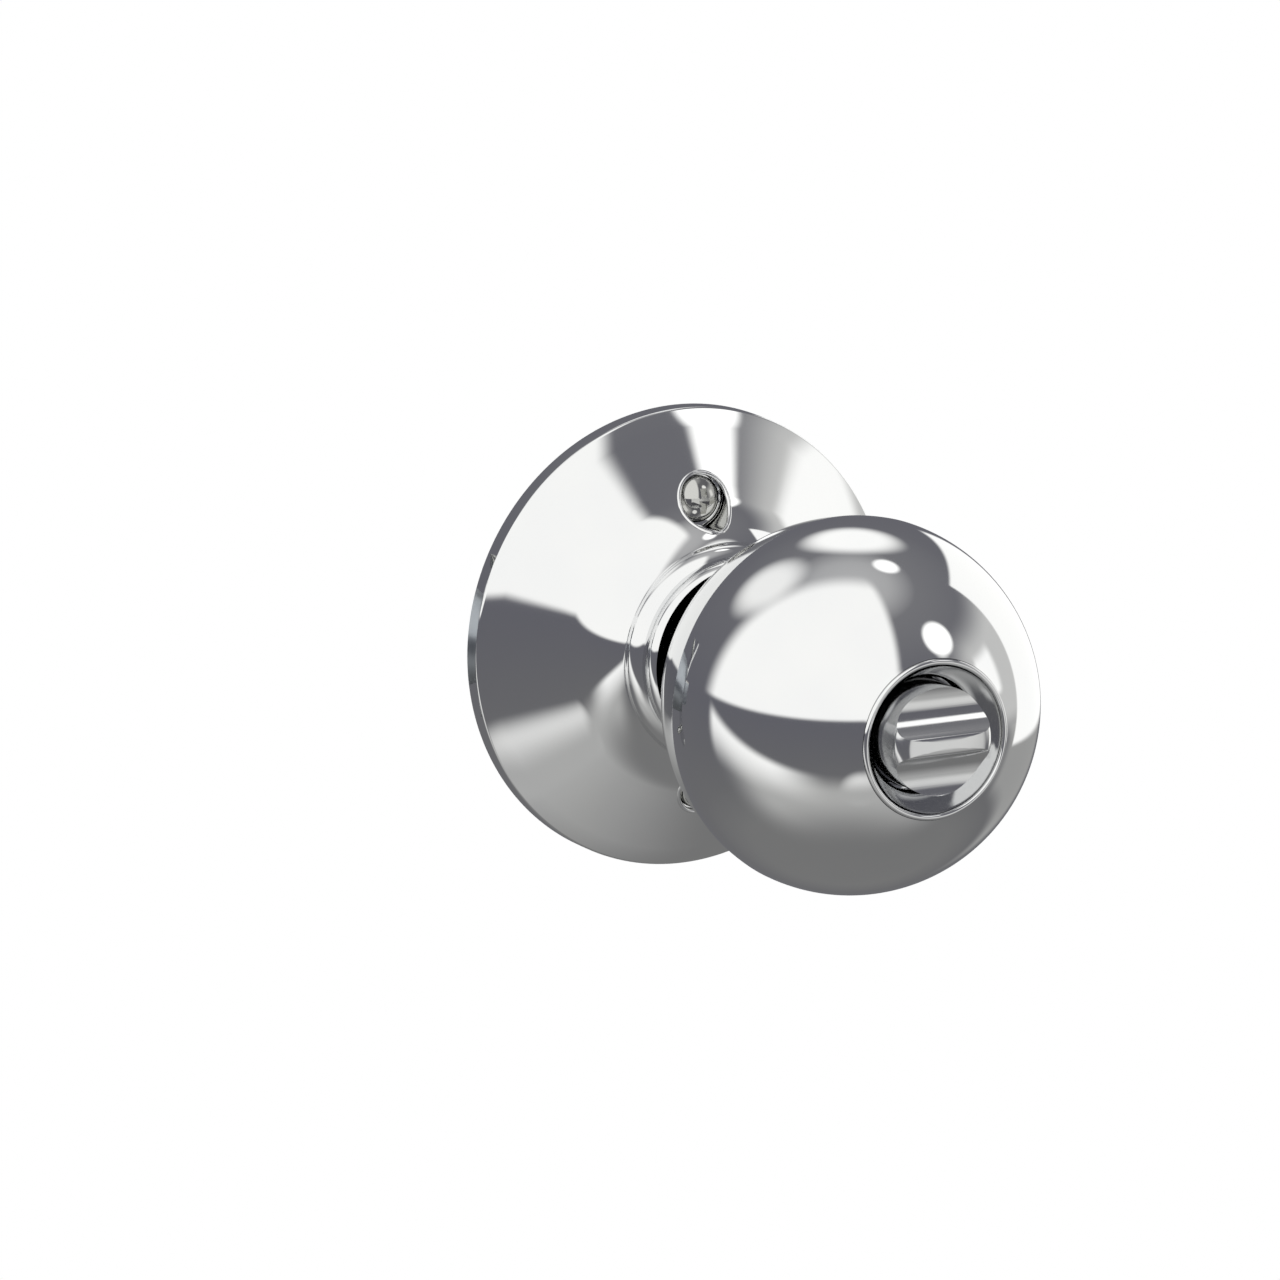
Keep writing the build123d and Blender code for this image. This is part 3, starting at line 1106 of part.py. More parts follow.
TAIL_SLOT_HALF = HUB_RADIUS + TAIL_SLOT_CLEARANCE
TAIL_SLOT_START = -TAIL_SLOT_HALF - BOLT_THROW
TAIL_FRONT = TAIL_SLOT_START - TAIL_WEB
HOOK_X = -BOLT_THROW / 2 + FINGER_THICKNESS / 2 + HOOK_GAP
HOOK_HEIGHT = TAIL_HEIGHT / 2 - HOOK_LOW
TAIL_PLANE = Plane.XZ.offset(-(LATCH_Y + TAIL_OFFSET + TAIL_THICKNESS / 2))
TAB_X = BOLT_TIP_X + PLUNGER_SETBACK + PLUNGER_LENGTH + PLUNGER_SPRING_LENGTH
with BuildPart() as latch_tail:
    with BuildSketch(TAIL_PLANE):
        with Locations(((TAIL_FRONT + TAIL_REACH) / 2, 0)):
            Rectangle(TAIL_REACH - TAIL_FRONT, TAIL_HEIGHT)
        with Locations(((TAIL_FRONT + BOLT_REAR_X) / 2, 0)):
            Rectangle(TAIL_FRONT - BOLT_REAR_X, TAIL_NECK_HEIGHT)
        with Locations(((TAIL_SLOT_START + TAIL_SLOT_HALF) / 2, 0)):
            Rectangle(TAIL_SLOT_HALF - TAIL_SLOT_START, 2 * TAIL_SLOT_HALF, mode=Mode.SUBTRACT)
    extrude(amount=TAIL_THICKNESS / 2, both=True)
    with BuildSketch(Plane.YZ.offset(HOOK_X)):
        hook_middle_y = LATCH_Y + (TAIL_OFFSET - HOOK_REACH) / 2
        hook_middle_z = HOOK_LOW + HOOK_HEIGHT / 2
        with Locations((hook_middle_y, hook_middle_z), (hook_middle_y, -hook_middle_z)):
            Rectangle(TAIL_OFFSET + HOOK_REACH, HOOK_HEIGHT)
    extrude(amount=HOOK_THICKNESS)
    with BuildSketch(Plane.YZ.offset(TAB_X)):
        tab_middle_y = LATCH_Y + (TAIL_OFFSET + STACK_LOW + PLUNGER_GAP) / 2
        tab_middle_z = (TAB_LOW + TAIL_NECK_HEIGHT / 2) / 2
        with Locations((tab_middle_y, tab_middle_z)):
            Rectangle(TAIL_OFFSET - STACK_LOW - PLUNGER_GAP, TAIL_NECK_HEIGHT / 2 - TAB_LOW)
    extrude(amount=TAB_THICKNESS)
latch_tail.part.label = "latch_tail"
export_step(latch_tail.part, "parts/latch_tail.step")

# Dead-latch plunger beside the bolt's flat side
PLUNGER_TIP_X = BOLT_TIP_X + PLUNGER_SETBACK
PLUNGER_REAR_X = PLUNGER_TIP_X + PLUNGER_LENGTH
PLUNGER_Y = LATCH_Y + STACK_LOW + PLUNGER_THICKNESS / 2
with BuildPart() as deadlatch_plunger:
    with BuildSketch(Plane.XZ.offset(-PLUNGER_Y)):
        with Locations(((PLUNGER_TIP_X + PLUNGER_REAR_X) / 2, 0)):
            Rectangle(PLUNGER_LENGTH, PLUNGER_HEIGHT)
    extrude(amount=PLUNGER_THICKNESS / 2, both=True)
    front_edges = deadlatch_plunger.faces().sort_by(Axis.X)[0].edges()
    chamfer(front_edges, length=BOLT_EDGE_ROUND)
deadlatch_plunger.part.label = "deadlatch_plunger"
export_step(deadlatch_plunger.part, "parts/deadlatch_plunger.step")

# Springs of the bolt and of the plunger, at their rest lengths
bolt_spring_start = Plane(
    origin=(BOLT_REAR_X + BOLT_SPRING_WIRE, LATCH_Y - BOLT_SPRING_OFFSET, 0), z_dir=(1, 0, 0)
)
bolt_spring_length = STOP_X - STOP_THICKNESS - BOLT_REAR_X - 2 * BOLT_SPRING_WIRE
bolt_spring = coil_spring(
    bolt_spring_start, BOLT_SPRING_RADIUS, BOLT_SPRING_WIRE, bolt_spring_length, BOLT_SPRING_TURNS
)
bolt_spring.part.label = "bolt_spring"
export_step(bolt_spring.part, "parts/bolt_spring.step")

plunger_spring_start = Plane(
    origin=(PLUNGER_REAR_X + PLUNGER_SPRING_WIRE, PLUNGER_Y, PLUNGER_SPRING_HEIGHT), z_dir=(1, 0, 0)
)
plunger_spring = coil_spring(
    plunger_spring_start,
    PLUNGER_SPRING_RADIUS,
    PLUNGER_SPRING_WIRE,
    PLUNGER_SPRING_LENGTH - 2 * PLUNGER_SPRING_WIRE,
    PLUNGER_SPRING_TURNS,
)
plunger_spring.part.label = "plunger_spring"
export_step(plunger_spring.part, "parts/plunger_spring.step")
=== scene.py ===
"""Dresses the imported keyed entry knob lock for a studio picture.

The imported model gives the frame, in metres: both knobs turn about the Y axis, the
door's inside face is the plane Y = 0, the latch bolt points to -X and +Z is up.
"""

import logging
import math
from dataclasses import dataclass
from enum import Enum

import bpy
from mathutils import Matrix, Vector


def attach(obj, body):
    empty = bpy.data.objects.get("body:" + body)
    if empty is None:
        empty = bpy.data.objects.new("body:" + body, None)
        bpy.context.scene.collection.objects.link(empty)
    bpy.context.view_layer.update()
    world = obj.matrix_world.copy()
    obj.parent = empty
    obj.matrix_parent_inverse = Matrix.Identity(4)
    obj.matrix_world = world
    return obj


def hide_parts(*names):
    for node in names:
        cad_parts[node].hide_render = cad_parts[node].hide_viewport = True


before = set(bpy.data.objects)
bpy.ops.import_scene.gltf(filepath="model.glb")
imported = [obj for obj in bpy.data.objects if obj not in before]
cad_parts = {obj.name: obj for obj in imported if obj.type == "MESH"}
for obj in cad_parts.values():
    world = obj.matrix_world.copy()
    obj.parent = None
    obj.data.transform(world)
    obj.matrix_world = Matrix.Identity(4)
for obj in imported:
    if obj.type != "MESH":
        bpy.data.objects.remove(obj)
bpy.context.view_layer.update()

logging.basicConfig(level=logging.INFO, format="%(message)s")
LOG = logging.getLogger("entry_lock")

MM = 0.001
DOOR = 44.45
LATCH_Y = DOOR / 2
DOOR_EDGE_X = -60.325
# Angle in degrees past which an edge stays sharp
SHARP = 32.0
# Radius in mm at which a turned outline starts, so that its pole closes when doubles merge
POLE = 0.02
# Part of the noise's range that shows as a drift in the gloss
HAZE_LOW = 0.3
HAZE_HIGH = 0.7
# Width of one ring of a wave texture whose scale is 1
RING_WIDTH = math.tau / 20
SCREW_SEAT = 6.2
SCREW_Z = 20.3
RECESS_LIP_HEIGHT = 73.295
WHITE = (1.0, 1.0, 1.0, 1.0)

Point = tuple[float, float]
Place = tuple[float, float, float]


class Side(Enum):
    """Half of the lock: where its door face lies and which way it stands out, in mm."""

    INSIDE = ("inside", 0.0, -1.0)
    OUTSIDE = ("outside", DOOR, 1.0)

    @property
    def word(self) -> str:
        """Return the word that starts the names of this half's pieces."""
        return self.value[0]

    def y(self, height: float) -> float:
        """Return Y in mm of a height above this half's door face."""
        return self.value[1] + self.value[2] * height


# Colours and finishes


def linear(hex_colour: str) -> tuple[float, float, float, float]:
    """Turn an sRGB colour into the linear colour that shaders take.

    Args:
        hex_colour: Six hex digits, such as "EDEEEE".

    Returns:
        Red, green, blue and alpha, each from 0 to 1.
    """
    channels = []
    for start in (0, 2, 4):
        value = int(hex_colour[start : start + 2], 16) / 255
        channels.append(value / 12.92 if value <= 0.04045 else ((value + 0.055) / 1.055) ** 2.4)
    return (channels[0], channels[1], channels[2], 1.0)


def add_node(
    tree: bpy.types.NodeTree,
    kind: str,
    settings: dict[str, object] | None = None,
    inputs: dict[str | int, object] | None = None,
) -> bpy.types.Node:
    """Add a node, set its properties and fill or link its inputs.

    Args:
        tree: Node tree that the node goes into.
        kind: Type name of the node.
        settings: Property names with their values.
        inputs: Socket names or numbers, each with a value or with an output to link from.

    Returns:
        The new node.
    """
    node = tree.nodes.new(kind)
    for name, value in (settings or {}).items():
        setattr(node, name, value)
    for key, value in (inputs or {}).items():
        if isinstance(value, bpy.types.NodeSocket):
            tree.links.new(value, node.inputs[key])
        else:
            node.inputs[key].default_value = value
    return node


@dataclass(frozen=True)
class MetalFinish:
    """A metal, as it was worked: colour, gloss, and the fine relief that its making left.

    Attributes:
        name: Common name of the metal and its surface.
        colour: Colour of the metal, as sRGB hex.
        tint: Slightly different colour that drifts over it, as sRGB hex.
        gloss: Lowest and highest roughness.
        haze_mm: Size of the patches in which the gloss drifts.
        grain_mm: Size of the fine relief; turned metal has it as rings.
        relief: Strength of that relief.
        depth_mm: Height of that relief.
        rings: Axis that turning marks run round, or an empty word.
        grooves: Stretch of the grain along X, Y and Z, for drawn or brushed metal.
    """

    name: str
    colour: str
    tint: str
    gloss: tuple[float, float]
    haze_mm: float = 14.0
    grain_mm: float = 0.5
    relief: float = 0.05
    depth_mm: float = 0.01
    rings: str = ""
    grooves: tuple[float, float, float] = (1.0, 1.0, 1.0)

    def build(self) -> bpy.types.Material:
        """Build the material.

        Returns:
            The finished material.
        """
        material = bpy.data.materials.new(self.name)
        material.use_nodes = True
        tree = material.node_tree
        shader = tree.nodes["Principled BSDF"]
        shader.inputs["Metallic"].default_value = 1.0
        place = add_node(tree, "ShaderNodeTexCoord")
        haze = add_node(
            tree,
            "ShaderNodeTexNoise",
            inputs={"Vector": place.outputs["Object"], "Scale": 1 / (self.haze_mm * MM), "Detail": 3.0},
        )
        ranged = add_node(
            tree,
            "ShaderNodeMapRange",
            inputs={
                "Value": haze.outputs["Fac"],
                "From Min": HAZE_LOW,
                "From Max": HAZE_HIGH,
                "To Min": self.gloss[0],
                "To Max": self.gloss[1],
            },
        )
        tree.links.new(ranged.outputs["Result"], shader.inputs["Roughness"])
        mix = add_node(
            tree,
            "ShaderNodeMix",
            settings={"data_type": "RGBA"},
            inputs={"Factor": haze.outputs["Fac"], 6: linear(self.colour), 7: linear(self.tint)},
        )
        tree.links.new(mix.outputs[2], shader.inputs["Base Color"])
        grain = self.grain(tree, place)
        bump = add_node(
            tree,
            "ShaderNodeBump",
            inputs={"Strength": self.relief, "Distance": self.depth_mm * MM, "Height": grain},
        )
        tree.links.new(bump.outputs["Normal"], shader.inputs["Normal"])
        return material

    def grain(self, tree: bpy.types.NodeTree, place: bpy.types.Node) -> bpy.types.NodeSocket:
        """Add the fine relief.

        Args:
            tree: Node tree of the material.
            place: Texture Coordinate node to read from.

        Returns:
            The output that holds the height.
        """
        if self.rings:
            wave = add_node(
                tree,
                "ShaderNodeTexWave",
                settings={"wave_type": "RINGS", "rings_direction": self.rings},
                inputs={
                    "Vector": place.outputs["Object"],
                    "Scale": RING_WIDTH / (self.grain_mm * MM),
                    "Distortion": 1.5,
                    "Detail": 2.0,
                },
            )
            return wave.outputs["Fac"]
        stretched = add_node(
            tree,
            "ShaderNodeMapping",
            inputs={"Vector": place.outputs["Object"], "Scale": self.grooves},
        )
        noise = add_node(
            tree,
            "ShaderNodeTexNoise",
            inputs={"Vector": stretched.outputs["Vector"], "Scale": 1 / (self.grain_mm * MM), "Detail": 2.0},
        )
        return noise.outputs["Fac"]


# Chrome plate over pressed and polished metal: a near-mirror with the faintest orange peel.
POLISHED_CHROME = MetalFinish(
    "polished_chrome_plate", "EFEFEE", "E6E7E9", (0.035, 0.06), relief=0.015, grain_mm=1.6
)
# Chrome over a polished zinc casting: a mirror too, but softer, so that reflections blur at their edges.
CAST_CHROME = MetalFinish("chrome_plated_casting", "E9E9E8", "DFE0E2", (0.1, 0.15), relief=0.03, grain_mm=1.2)
# Chrome over a turned tube: the same mirror, with very fine rings left by the lathe.
TURNED_CHROME = MetalFinish("turned_chrome_plate", "E4E5E6", "D9DBDD", (0.06, 0.11), relief=0.03, rings="Y")
# Nickel plate on cold-headed screws: darker and softer than chrome.
NICKEL_SCREW = MetalFinish(
    "nickel_plated_screw_steel", "CDCDCA", "BDBDBA", (0.07, 0.12), relief=0.1, grain_mm=0.3
)
# Bright zinc on hidden stampings: bluish grey with a soft drawn grain.
ZINC_STAMPING = MetalFinish(
    "zinc_plated_stamping",
    "B9BEC4",
    "A6ABB0",
    (0.28, 0.42),
    relief=0.12,
    grain_mm=0.6,
    grooves=(1.0, 1.0, 0.25),
)
# Bare die-cast zinc alloy: dull grey with a pebbled skin.
DIE_CAST = MetalFinish(
    "die_cast_zinc_alloy", "9EA1A4", "8A8D90", (0.4, 0.55), relief=0.25, grain_mm=0.5, depth_mm=0.02
)
# Hard-drawn spring wire: dark steel with a thin film of oil.
SPRING_WIRE = MetalFinish("drawn_spring_steel", "7C7E80", "66686B", (0.22, 0.32), relief=0.05, grain_mm=0.2)
# Turned free-cutting brass: warm yellow with rings from the tool.
TURNED_BRASS = MetalFinish(
    "turned_brass", "D8B871", "C9A65D", (0.14, 0.24), relief=0.1, grain_mm=0.25, rings="Y"
)
# Nickel silver key stock: pale, slightly yellow, brushed along its length.
KEY_STOCK = MetalFinish(
    "brushed_nickel_silver",
    "D2CCBC",
    "C2BBAA",
    (0.2, 0.32),
    relief=0.14,
    grain_mm=0.35,
    grooves=(1.0, 0.08, 1.0),
)
# Nickel-plated brass bolt: bright, with a soft sheen from tumbling.
PLATED_BOLT = MetalFinish(
    "nickel_plated_latch_bolt", "DAD7D0", "CBC8C1", (0.12, 0.2), relief=0.06, grain_mm=0.8
)


class Finishes:
    """All finishes, each built once."""

    def __init__(self) -> None:
        """Build every material."""
        self.built = {
            finish.name: finish.build()
            for finish in (
                POLISHED_CHROME,
                CAST_CHROME,
                TURNED_CHROME,
                NICKEL_SCREW,
                ZINC_STAMPING,
                DIE_CAST,
                SPRING_WIRE,
                TURNED_BRASS,
                KEY_STOCK,
                PLATED_BOLT,
            )
        }

    def put_on(self, piece: bpy.types.Object, finish: MetalFinish) -> None:
        """Give a piece or a node one finish all over.

        Args:
            piece: Object to dress.
            finish: Finish that it gets.
        """
        if not piece.data.materials:
            piece.data.materials.append(self.built[finish.name])
        for slot in piece.material_slots:
            slot.material = self.built[finish.name]


# Modelling by operators


def deselect() -> None:
    """Leave edit mode and deselect everything."""
    if bpy.context.object and bpy.context.object.mode != "OBJECT":
        bpy.ops.object.mode_set(mode="OBJECT")
    bpy.ops.object.select_all(action="DESELECT")


def start_point(name: str, place: Vector) -> bpy.types.Object:
    """Start a piece from one vertex and stay in edit mode.

    Args:
        name: Name of the piece.
        place: Where the vertex goes, in metres.

    Returns:
        The new object.
    """
    deselect()
    bpy.ops.mesh.primitive_plane_add(size=MM, location=(0, 0, 0))
    piece = bpy.context.object
    piece.name = name
    piece.data.name = name
    bpy.ops.object.mode_set(mode="EDIT")
    bpy.ops.mesh.select_all(action="SELECT")
    bpy.ops.mesh.merge(type="CENTER")
    bpy.ops.transform.translate(value=place)
    return piece


def draw_line(name: str, places: list[Vector]) -> bpy.types.Object:
    """Draw a chain of edges by extruding one vertex, and stay in edit mode.

    Args:
        name: Name of the piece.
        places: Points of the chain, in metres.

    Returns:
        The new object.
    """
    piece = start_point(name, places[0])
    for here, there in zip(places, places[1:]):
        bpy.ops.mesh.extrude_region_move(TRANSFORM_OT_translate={"value": there - here})
    return piece


def finish_edit(merge: float = 1e-6, angle: float = SHARP) -> None:
    """Merge doubles, turn faces outwards, leave edit mode and smooth all but sharp edges.

    Args:
        merge: Distance in metres under which points join.
        angle: Angle in degrees past which an edge stays sharp.
    """
    bpy.ops.mesh.select_all(action="SELECT")
    bpy.ops.mesh.remove_doubles(threshold=merge)
    bpy.ops.mesh.normals_make_consistent(inside=False)
    bpy.ops.object.mode_set(mode="OBJECT")
    bpy.ops.object.shade_smooth_by_angle(angle=math.radians(angle))


def turned(side: Side, name: str, outline: list[Point], steps: int = 160) -> bpy.types.Object:
    """Turn a closed outline of (radius, height) points round the knob axis.

    Args:
        side: Half of the lock that the heights are measured on.
        name: Name of the piece.
        outline: Closed outline in mm, last point joined to the first.
        steps: How many faces go round.

    Returns:
        The piece, smooth-shaded, in object mode.
    """
    closed = outline + [outline[0]]
    places = [Vector((radius * MM, side.y(height) * MM, 0)) for radius, height in closed]
    piece = draw_line(name, places)
    bpy.ops.mesh.select_all(action="SELECT")
    bpy.ops.mesh.spin(steps=steps, angle=math.tau, center=(0, 0, 0), axis=(0, 1, 0))
    finish_edit()
    return piece


def extruded(name: str, places: list[Vector], move: Vector) -> bpy.types.Object:
    """Fill a closed outline and extrude it into a solid.

    Args:
        name: Name of the piece.
        places: Corners of the outline, in metres.
        move: How far and which way it is extruded.

    Returns:
        The piece, in object mode.
    """
    piece = draw_line(name, places)
    bpy.ops.mesh.select_all(action="SELECT")
    bpy.ops.mesh.edge_face_add()
    bpy.ops.mesh.extrude_region_move(TRANSFORM_OT_translate={"value": move})
    finish_edit()
    return piece


def round_edges(piece: bpy.types.Object, width_mm: float, segments: int, angle: float) -> None:
    """Round the sharp edges of a piece and apply it.

    Args:
        piece: Piece to work on.
        width_mm: Width of the rounding.
        segments: Faces across it.
        angle: Angle in degrees past which an edge counts as sharp.
    """
    bevel = piece.modifiers.new("edge_rounding", "BEVEL")
    bevel.width = width_mm * MM
    bevel.segments = segments
    bevel.limit_method = "ANGLE"
    bevel.angle_limit = math.radians(angle)
    bevel.harden_normals = False
    apply_modifier(piece, bevel)


def apply_modifier(piece: bpy.types.Object, modifier: bpy.types.Modifier) -> None:
    """Apply a modifier and shade the result smooth by angle.

    Args:
        piece: Piece that holds the modifier.
        modifier: Modifier to apply.
    """
    deselect()
    piece.select_set(True)
    bpy.context.view_layer.objects.active = piece
    bpy.ops.object.modifier_apply(modifier=modifier.name)
    bpy.ops.object.shade_smooth_by_angle(angle=math.radians(SHARP))


def combine(piece: bpy.types.Object, other: bpy.types.Object, operation: str) -> None:
    """Combine one solid with another and remove the other.

    Args:
        piece: Piece that stays.
        other: Solid that it is combined with.
        operation: "UNION", "DIFFERENCE" or "INTERSECT".
    """
    combining = piece.modifiers.new("combining", "BOOLEAN")
    combining.operation = operation
    combining.solver = "EXACT"
    combining.object = other
    apply_modifier(piece, combining)
    bpy.data.objects.remove(other)


def cut_away(piece: bpy.types.Object, cutter: bpy.types.Object) -> None:
    """Cut one solid out of another and remove the cutter.

    Args:
        piece: Piece that stays.
        cutter: Solid that is taken out of it.
    """
    combine(piece, cutter, "DIFFERENCE")


def rod(
    name: str, place: Vector, axis: str, radius_mm: float, length_mm: float, sides: int = 64
) -> bpy.types.Object:
    """Add a round bar centred on a place, along X, Y or Z, with its place in its mesh.

    Args:
        name: Name of the bar.
        place: Its middle, in metres.
        axis: "X", "Y" or "Z".
        radius_mm: Its radius.
        length_mm: Its length.
        sides: Faces round it.

    Returns:
        The bar.
    """
    turns = {"X": (0, math.pi / 2, 0), "Y": (math.pi / 2, 0, 0), "Z": (0, 0, 0)}
    deselect()
    bpy.ops.mesh.primitive_cylinder_add(
        vertices=sides,
        radius=radius_mm * MM,
        depth=length_mm * MM,
        location=place,
        rotation=turns[axis],
    )
    bar = bpy.context.object
    bar.name = name
    bpy.ops.object.transform_apply(location=True, rotation=True, scale=True)
    return bar


def block(name: str, low_mm: Place, high_mm: Place) -> bpy.types.Object:
    """Add a box between two corners, with its place in its mesh.

    Args:
        name: Name of the box.
        low_mm: Lowest corner.
        high_mm: Highest corner.

    Returns:
        The box.
    """
    deselect()
    size = [(high - low) * MM for low, high in zip(low_mm, high_mm)]
    middle = [(high + low) / 2 * MM for low, high in zip(low_mm, high_mm)]
    bpy.ops.mesh.primitive_cube_add(size=1, location=middle, scale=size)
    box = bpy.context.object
    box.name = name
    bpy.ops.object.transform_apply(location=True, rotation=True, scale=True)
    return box


def joined(name: str, parts: list[bpy.types.Object]) -> bpy.types.Object:
    """Join solids into one piece.

    Args:
        name: Name of the joined piece.
        parts: Solids to join.

    Returns:
        The joined piece.
    """
    deselect()
    for part in parts:
        part.select_set(True)
    bpy.context.view_layer.objects.active = parts[0]
    bpy.ops.object.join()
    piece = bpy.context.object
    piece.name = name
    piece.data.name = name
    return piece


def arc(centre: Point, radius: float, start: float, end: float, count: int) -> list[Point]:
    """Return points on an arc.

    Args:
        centre: Centre of the arc.
        radius: Its radius.
        start: Angle of its first point, in degrees.
        end: Angle of its last point, in degrees.
        count: How many steps it has.

    Returns:
        count + 1 points.
    """
    angles = [math.radians(start + (end - start) * i / count) for i in range(count + 1)]
    return [(centre[0] + radius * math.cos(a), centre[1] + radius * math.sin(a)) for a in angles]


def bulged(start: Point, end: Point, rise: float, count: int) -> list[Point]:
    """Return points on an arc between two points that rises to the right of the way.

    Args:
        start: First point.
        end: Last point.
        rise: Height of the arc over its chord; a negative one is a hollow.
        count: How many steps it has.

    Returns:
        count + 1 points, start and end included.
    """
    chord = Vector(end) - Vector(start)
    right = Vector((chord.y, -chord.x)).normalized()
    radius = (chord.length**2 / 4 + rise**2) / (2 * abs(rise))
    middle = (Vector(start) + Vector(end)) / 2
    centre = middle + right * (rise - math.copysign(radius, rise))
    first = math.atan2(start[1] - centre.y, start[0] - centre.x)
    sweep = math.copysign(2 * math.asin(min(1.0, chord.length / 2 / radius)), rise)
    angles = [first + sweep * i / count for i in range(count + 1)]
    return [(centre.x + radius * math.cos(a), centre.y + radius * math.sin(a)) for a in angles]


def moved(piece: bpy.types.Object, shift: Vector) -> None:
    """Move a piece and put its new place in its mesh.

    Args:
        piece: Piece to move.
        shift: How far it goes along X, Y and Z, in metres.
    """
    deselect()
    piece.select_set(True)
    bpy.context.view_layer.objects.active = piece
    bpy.ops.transform.translate(value=shift)
    bpy.ops.object.transform_apply(location=True, rotation=True, scale=True)


def stand_in(
    piece: bpy.types.Object, body: str, node: str, finishes: Finishes, finish: MetalFinish
) -> bpy.types.Object:
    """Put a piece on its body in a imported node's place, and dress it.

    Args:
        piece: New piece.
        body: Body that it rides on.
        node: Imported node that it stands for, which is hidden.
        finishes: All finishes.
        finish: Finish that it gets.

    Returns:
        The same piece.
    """
    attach(piece, body)
    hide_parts(node)
    finishes.put_on(piece, finish)
    return piece


# Roses and collars


@dataclass
class RoseCover:
    """Conical rose: straight cone, coved neck and a grooved collar, with screw cups inside."""

    side: Side
    finish: MetalFinish = POLISHED_CHROME
    radius: float = 32.5
    rim: float = 2.9
    edge: float = 0.45
    cone_degrees: float = 26.7
    cone_rings: tuple[float, ...] = (30.0, 28.0, 26.0, 24.0, 22.5)
    cone_end: float = 21.0
    neck: Point = (15.5, 14.457)
    shoulder: Point = (14.15, 16.957)
    lip: Point = (13.3, 19.457)
    groove: float = 0.35
    cove_hollow: float = 0.75
    neck_bulge: float = 0.35
    wall: float = 1.0
    bore_depth: float = 8.0
    hole: float = 3.65
    cup_wall: float = 0.8
    seat_floor: float = 0.8
    shaft_hole: float = 2.1
    lip_bead: float = 0.34
    bead_offset: float = 0.187
    bead_sink: float = 0.2448
    bead_steps: int = 72
    core: float = 0.5
    axis_gap: float = 0.2
    clearance: float = 1.0
    steps: int = 192

    def cone_height(self, radius: float) -> float:
        """Return the cone's height at a radius."""
        foot = self.radius - self.edge
        return self.rim + (foot - radius) * math.tan(math.radians(self.cone_degrees))

    def surface_height(self, radius: float) -> float:
        """Find the height of the cone or the cove.

        Args:
            radius: Distance from the knob axis, in mm.

        Returns:
            The height above the door face, in mm.
        """
        if radius >= self.cone_end:
            return self.cone_height(radius)
        cove = bulged((self.cone_end, self.cone_height(self.cone_end)), self.neck, -self.cove_hollow, 60)
        nearest = min(cove, key=lambda point: abs(point[0] - radius))
        return nearest[1]

    def outer_line(self) -> list[Point]:
        """Draw the outside line, from the door up to the lip.

        Returns:
            Points as (radius, height) in mm.
        """
        cone_top = self.cone_height(self.cone_end)
        slope = math.radians(self.cone_degrees)
        corner = (self.radius - self.edge, self.rim - self.edge / math.cos(slope))
        cone = [(radius, self.cone_height(radius)) for radius in self.cone_rings]
        groove_low = (self.shoulder[0] - self.groove, self.shoulder[1])
        groove_high = (groove_low[0], groove_low[1] + self.groove)
        return (
            [(self.radius, 0.0)]
            + arc(corner, self.edge, 0.0, 90.0 - self.cone_degrees, 6)
            + cone
            + bulged((self.cone_end, cone_top), self.neck, -self.cove_hollow, 22)
            + bulged(self.neck, self.shoulder, self.neck_bulge, 10)[1:]
            + [groove_low]
            + bulged(groove_high, self.lip, self.neck_bulge, 8)
        )

    def inner_line(self) -> list[Point]:
        """Draw the inside line, from the lip down to the door.

        Returns:
            Points as (radius, height) in mm.
        """
        drop = self.wall / math.cos(math.radians(self.cone_degrees))
        throat = self.cone_end - self.wall
        rim = self.radius - self.wall
        return [
            (self.lip[0], self.lip[1] - self.bore_depth),
            (throat, self.cone_height(throat) - drop),
            (rim, self.cone_height(rim) - drop),
            (rim, 0.0),
        ]

    def build(self, finishes: Finishes) -> list[bpy.types.Object]:
        """Build the cover and, inside, the rolled lips of its screw holes.

        Args:
            finishes: All finishes.

        Returns:
            The new pieces.
        """
        name = f"{self.side.word}_rose_cover"
        if self.side is Side.OUTSIDE:
            cover = turned(self.side, name, self.outer_line() + self.inner_line(), self.steps)
            return [self.dress(cover, finishes, True)]
        top = self.lip[1]
        filled = self.outer_line() + [(self.core, top), (self.core, 0.0)]
        cover = turned(self.side, name, filled, self.steps)
        above = top + self.clearance
        hollow_line = [(self.axis_gap, -self.clearance), (self.radius - self.wall, -self.clearance)]
        hollow_line += list(reversed(self.inner_line()))
        hollow_line += [(self.lip[0], above), (self.axis_gap, above)]
        hollow = turned(self.side, "rose_hollow", hollow_line, self.steps)
        for z in (SCREW_Z, -SCREW_Z):
            middle = Vector((0, self.side.y(SCREW_SEAT - self.seat_floor + top), z)) * MM
            cut_away(hollow, rod("screw_cup", middle, "Y", self.hole + self.cup_wall, 2 * top, 64))
        cut_away(cover, hollow)
        for z in (SCREW_Z, -SCREW_Z):
            middle = Vector((0, self.side.y(SCREW_SEAT + top), z)) * MM
            cut_away(cover, rod("head_hole", middle, "Y", self.hole, 2 * top, 96))
            cut_away(cover, rod("shaft_hole", middle, "Y", self.shaft_hole, 6 * top, 48))
        pieces = [self.dress(cover, finishes, True)]
        for word, sign in (("upper", 1.0), ("lower", -1.0)):
            pieces.append(self.dress(self.hole_lip(word, sign), finishes, False))
        return pieces

